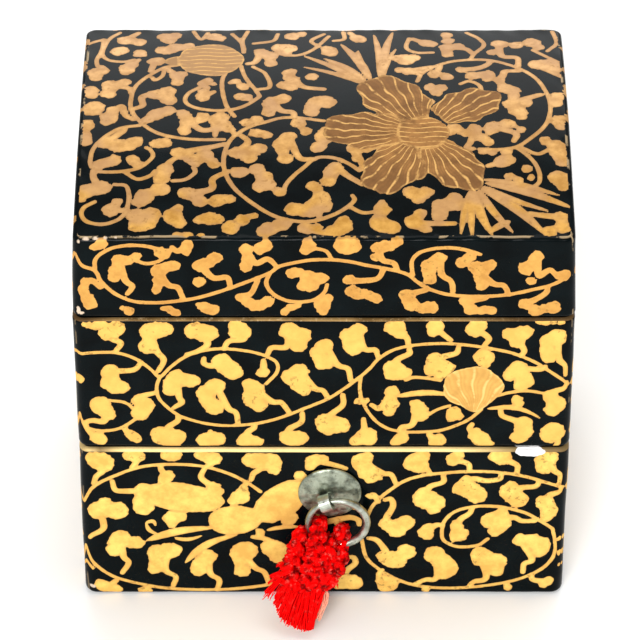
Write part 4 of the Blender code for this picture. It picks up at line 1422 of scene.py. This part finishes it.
class Cords:
    """Round cords, gathered as the splines of one curve and turned into one mesh."""

    def __init__(self, name, sides=2):
        self.curve = bpy.data.curves.new(name, "CURVE")
        self.curve.dimensions = "3D"
        self.curve.bevel_depth = MM
        self.curve.bevel_resolution = sides
        self.curve.use_fill_caps = True

    def add(self, points, radii):
        spline = self.curve.splines.new("POLY")
        spline.points.add(len(points) - 1)
        for point, place, radius in zip(spline.points, points, radii):
            point.co = (*(place * MM), 1.0)
            point.radius = radius

    def twisted(self, path, radius, lay, phase):
        """Three cords twisted round a path; lay is the length of one turn."""
        for ply in range(3):
            points, run = [], 0.0
            for index, place in enumerate(path):
                ahead = (path[min(index + 1, len(path) - 1)] - path[max(index - 1, 0)]).normalized()
                side = ahead.cross(OUT).normalized()
                run += (place - path[max(index - 1, 0)]).length
                turn = phase + 2 * math.pi * (run / lay + ply / 3)
                off = side * math.cos(turn) + ahead.cross(side) * math.sin(turn)
                points.append(place + off * radius * 0.5)
            ends = [min(1.0, 0.35 + 0.3 * min(i, len(path) - 1 - i)) for i in range(len(path))]
            self.add(points, [radius * 0.6 * end for end in ends])

    def mesh(self):
        holder = add_object(self.curve.name, self.curve)
        graph = bpy.context.evaluated_depsgraph_get()
        mesh = bpy.data.meshes.new_from_object(holder.evaluated_get(graph))
        bpy.data.objects.remove(holder)
        mesh.shade_smooth()
        return mesh


def resample(points, step):
    """Points at an even spacing along a smooth curve through the given ones."""
    fine = smooth(points, 12)
    length = np.concatenate([[0], np.cumsum(np.linalg.norm(np.diff(fine[:, :3], axis=0), axis=1))])
    even = np.linspace(0, length[-1], max(3, round(length[-1] / step)))
    return np.stack([np.interp(even, length, column) for column in fine.T], 1), even


# across, down, out and how wide the plait is there
PLAITS = (
    ((-3.4, 3.0, -2.0, 0.4), (-3.9, -0.4, -1.6, 0.4), (-4.4, -1.5, 0.0, 0.5), (-4.9, 0.2, 1.2, 0.7),
     (-5.0, 3.0, 1.3, 1.0), (-5.1, 6.0, 1.1, 1.0), (-4.9, 8.5, 0.8, 1.0), (-4.4, 11.5, 0.4, 0.8)),
    ((-0.6, 3.0, -2.0, 0.4), (-1.0, -1.0, -1.9, 0.4), (-1.2, -3.4, -0.8, 0.5), (-1.3, -3.6, 0.6, 0.6),
     (-1.2, -1.2, 2.1, 0.9), (-1.3, 1.5, 2.3, 1.0), (-1.4, 4.5, 1.8, 1.0), (-1.5, 8.0, 1.3, 1.0),
     (-1.8, 11.5, 0.6, 0.8)),
    ((3.0, 2.6, -2.6, 0.4), (3.5, -0.4, -2.1, 0.4), (3.8, -1.9, -1.0, 0.6), (4.1, -0.4, -0.5, 0.7),
     (4.3, 1.9, -1.8, 0.5), (4.4, 3.8, -0.2, 0.9), (4.2, 6.0, 1.0, 1.0), (3.3, 8.5, 0.9, 1.0),
     (2.0, 11.5, 0.4, 0.8)),
    ((1.0, -0.4, -1.4, 0.4), (1.4, 1.6, 0.9, 0.8), (1.6, 4.0, 1.4, 1.0), (1.0, 8.0, 1.3, 1.0),
     (0.2, 11.5, 0.6, 0.8)),
    ((-3.4, 1.0, -1.6, 0.6), (-3.6, 5.0, -1.5, 1.0), (-3.0, 11.5, -0.9, 0.8)),
    ((1.6, 2.0, -1.8, 0.6), (1.8, 6.0, -1.5, 1.0), (0.4, 11.5, -0.9, 0.8)))
PLAIT_TURN, PLAIT_WIDTH, PLAIT_DEPTH = 8.6, 1.25, 0.95
STRAND, STRAND_LAY = 1.0, 4.6


def add_plaits(cords):
    for number, spine in enumerate(PLAITS):
        points, run = resample(np.array(spine), 0.4)
        for strand in range(3):
            turn = 2 * math.pi * (run / PLAIT_TURN + strand / 3) + 1.3 * number
            path = [hang(a + PLAIT_WIDTH * w * math.sin(t), d, o + PLAIT_DEPTH * w * math.sin(2 * t))
                    for (a, d, o, w), t in zip(points, turn)]
            cords.twisted(path, STRAND, STRAND_LAY, number + 2.1 * strand)


# %% [markdown]
# The fringe is cut slantwise: its left side ends first. A few tufts stand out on the left, and
# some paler threads have come loose on the right.

# %% Fringe
FRINGE_THREADS, TUFT_THREADS, LOOSE_THREADS = 430, 26, 16
# across and down, along the cut
FRINGE_ENDS = ((-7.4, 13.6), (-6.6, 16.0), (-4.6, 18.6), (-1.6, 20.0), (1.3, 20.6), (1.9, 19.0), (2.3, 15.5))


def add_fringe(cords, chance):
    ends = smooth(FRINGE_ENDS, 10)
    for _ in range(FRINGE_THREADS):
        share = chance.random()
        tip = ends[int(share * (len(ends) - 1))]
        back = chance.uniform(-1, 1)
        inward = chance.uniform(0, 1) ** 2 * 0.5
        tip_a = tip[0] + (-1.8 - tip[0]) * inward + chance.uniform(-0.3, 0.3)
        tip_d = tip[1] - inward * 1.5 * chance.random() - chance.uniform(0, 0.7)
        root = (-5.6 + 8.4 * share + chance.uniform(-0.5, 0.5), chance.uniform(9.0, 10.6), 1.5 * back)
        middle = ((root[0] * 0.45 + tip_a * 0.55) + chance.uniform(-0.4, 0.4), (root[1] + tip_d) / 2,
                  1.45 * back + chance.uniform(-0.2, 0.2))
        path, _ = resample(np.array([root, middle, (tip_a, tip_d, 1.0 * back + 0.2)]), 1.1)
        cords.add([hang(*place) for place in path], [chance.uniform(0.10, 0.17)] * len(path))


# across, down and out at the root, across and down at the tip
TUFTS = ((-5.6, 5.4, 0.6, -7.6, 6.6), (-5.9, 7.2, 0.5, -8.6, 9.4), (-6.2, 8.6, 0.4, -8.9, 12.6),
         (3.4, 8.4, 0.6, 4.6, 9.8))


def add_tufts(cords, chance):
    for a, d, o, tip_a, tip_d in TUFTS:
        for _ in range(TUFT_THREADS):
            tip = (tip_a + chance.uniform(-0.8, 0.8), tip_d + chance.uniform(-1.1, 1.1),
                   o + chance.uniform(-0.9, 0.9))
            bend = ((a + tip[0]) / 2 + chance.uniform(-0.4, 0.4), (d + tip[1]) / 2 - 0.4,
                    o + chance.uniform(-0.5, 0.5))
            path, _ = resample(np.array([(a, d, o), bend, tip]), 0.8)
            cords.add([hang(*place) for place in path], [0.11] * len(path))


def add_loose_threads(cords, chance):
    for _ in range(LOOSE_THREADS):
        start = (chance.uniform(1.8, 3.0), chance.uniform(9.8, 11.0), chance.uniform(-0.4, 0.8))
        middle = (chance.uniform(2.8, 4.0), chance.uniform(12.8, 14.2), chance.uniform(-0.4, 0.8))
        tip = (chance.uniform(2.0, 3.2), chance.uniform(16.6, 18.6), chance.uniform(-0.4, 0.6))
        path, _ = resample(np.array([start, middle, tip]), 0.8)
        cords.add([hang(*place) for place in path], [0.12] * len(path))


def cord_piece():
    chance = random.Random(5)
    plaits, threads, loose = Cords("plaits", 1), Cords("threads", 0), Cords("loose", 0)
    add_plaits(plaits)
    add_fringe(threads, chance)
    add_tufts(threads, chance)
    add_loose_threads(loose, chance)
    bm = bmesh.new()
    pale = bm.verts.layers.float.new("pale")
    fringe = bm.verts.layers.float.new("fringe")
    for cords, is_pale, is_fringe in ((plaits, 0, 0), (threads, 0, 1), (loose, 1, 1)):
        before = len(bm.verts)
        bm.from_mesh(cords.mesh())
        bm.verts.ensure_lookup_table()
        for index in range(before, len(bm.verts)):
            bm.verts[index][pale] = is_pale
            bm.verts[index][fringe] = is_fringe
    mesh = bpy.data.meshes.new("silk_tassel")
    bm.to_mesh(mesh)
    bm.free()
    mesh.shade_smooth()
    piece = add_object("silk_tassel", mesh)
    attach(piece, "pull")
    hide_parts("tassel")
    mesh.calc_loop_triangles()
    print("tassel triangles", len(mesh.loop_triangles))
    return piece


silk_tassel = cord_piece()

# %% [markdown]
# Silk has a soft sheen, and its colour is a strong red, with pinkish painted highlights where the
# light catches the twist of a cord and dark red painted shade for the gaps between the cords.

# %% Silk


def silk_finish():
    skin = Finish("red_silk_cord", Specular_IOR_Level=0.05)
    twist = skin.spots(700, 3)
    # Dark red where the noise is low is painted shade between the cords; the pink spots below are painted
    # highlights.
    lit = twist.ramp(0.34, 0.58).most(skin.value("fringe") * 0.9)
    red = skin.mix(lit, (0.13, 0.0, 0.0), (0.90, 0.0, 0.0))
    shine = skin.spots(900, 2, 0.6).ramp(0.58, 0.70) * (1.0 - skin.value("fringe") * 0.7)
    red = skin.mix(shine * 0.55, red, (0.96, 0.13, 0.10))
    skin.feed(Base_Color=skin.mix(skin.value("pale") * 0.9, red, (0.90, 0.42, 0.28)))
    skin.feed(Roughness=0.50 + skin.spots(1500, 2) * 0.2)
    skin.bump(skin.spots(2600, 2, 0.6), 0.00012, 0.6)
    return skin.material


silk_tassel.data.materials.clear()
silk_tassel.data.materials.append(silk_finish())

# %% [markdown]
# ## Floor and light
# A pale floor that runs on without an edge, a soft light in front, another overhead, and a weak
# even light from all round, so that no shadow is hard. A wide light behind is mirrored in the
# back of the lid, which is paler there.

# %% Stage


def add_stage():
    bm = bmesh.new()
    bmesh.ops.create_grid(bm, x_segments=1, y_segments=1, size=4.0)
    mesh = bpy.data.meshes.new("floor")
    bm.to_mesh(mesh)
    bm.free()
    floor = add_object("floor", mesh)
    skin = Finish("pale_floor", Roughness=0.9)
    skin.feed(Base_Color=skin.mix(skin.spots(3, 2), (0.90, 0.90, 0.89), (0.94, 0.94, 0.93)))
    mesh.materials.append(skin.material)


def add_light(name, size, power, place, target=(0, 0, 0.05)):
    data = bpy.data.lights.new(name, "AREA")
    data.shape = "DISK"
    data.size = size
    data.energy = power
    light = add_object(name, data)
    light.location = place
    light.rotation_euler = (Vector(target) - Vector(place)).to_track_quat("-Z", "Y").to_euler()
    print(name, "watts", power)


add_stage()
add_light("front_light", 0.9, 26.0, (-0.35, -1.5, 0.95))
add_light("top_light", 1.2, 12.5, (0.2, 0.3, 1.8))
add_light("back_light", 2.2, 34.0, (0.0, 2.3, 1.05))
world = bpy.data.worlds.new("studio")
world.use_nodes = True
sky = world.node_tree.nodes["Background"].inputs
sky["Color"].default_value = (1.0, 1.0, 1.0, 1.0)
sky["Strength"].default_value = 0.55
bpy.context.scene.world = world
bpy.context.scene.view_settings.view_transform = "Standard"
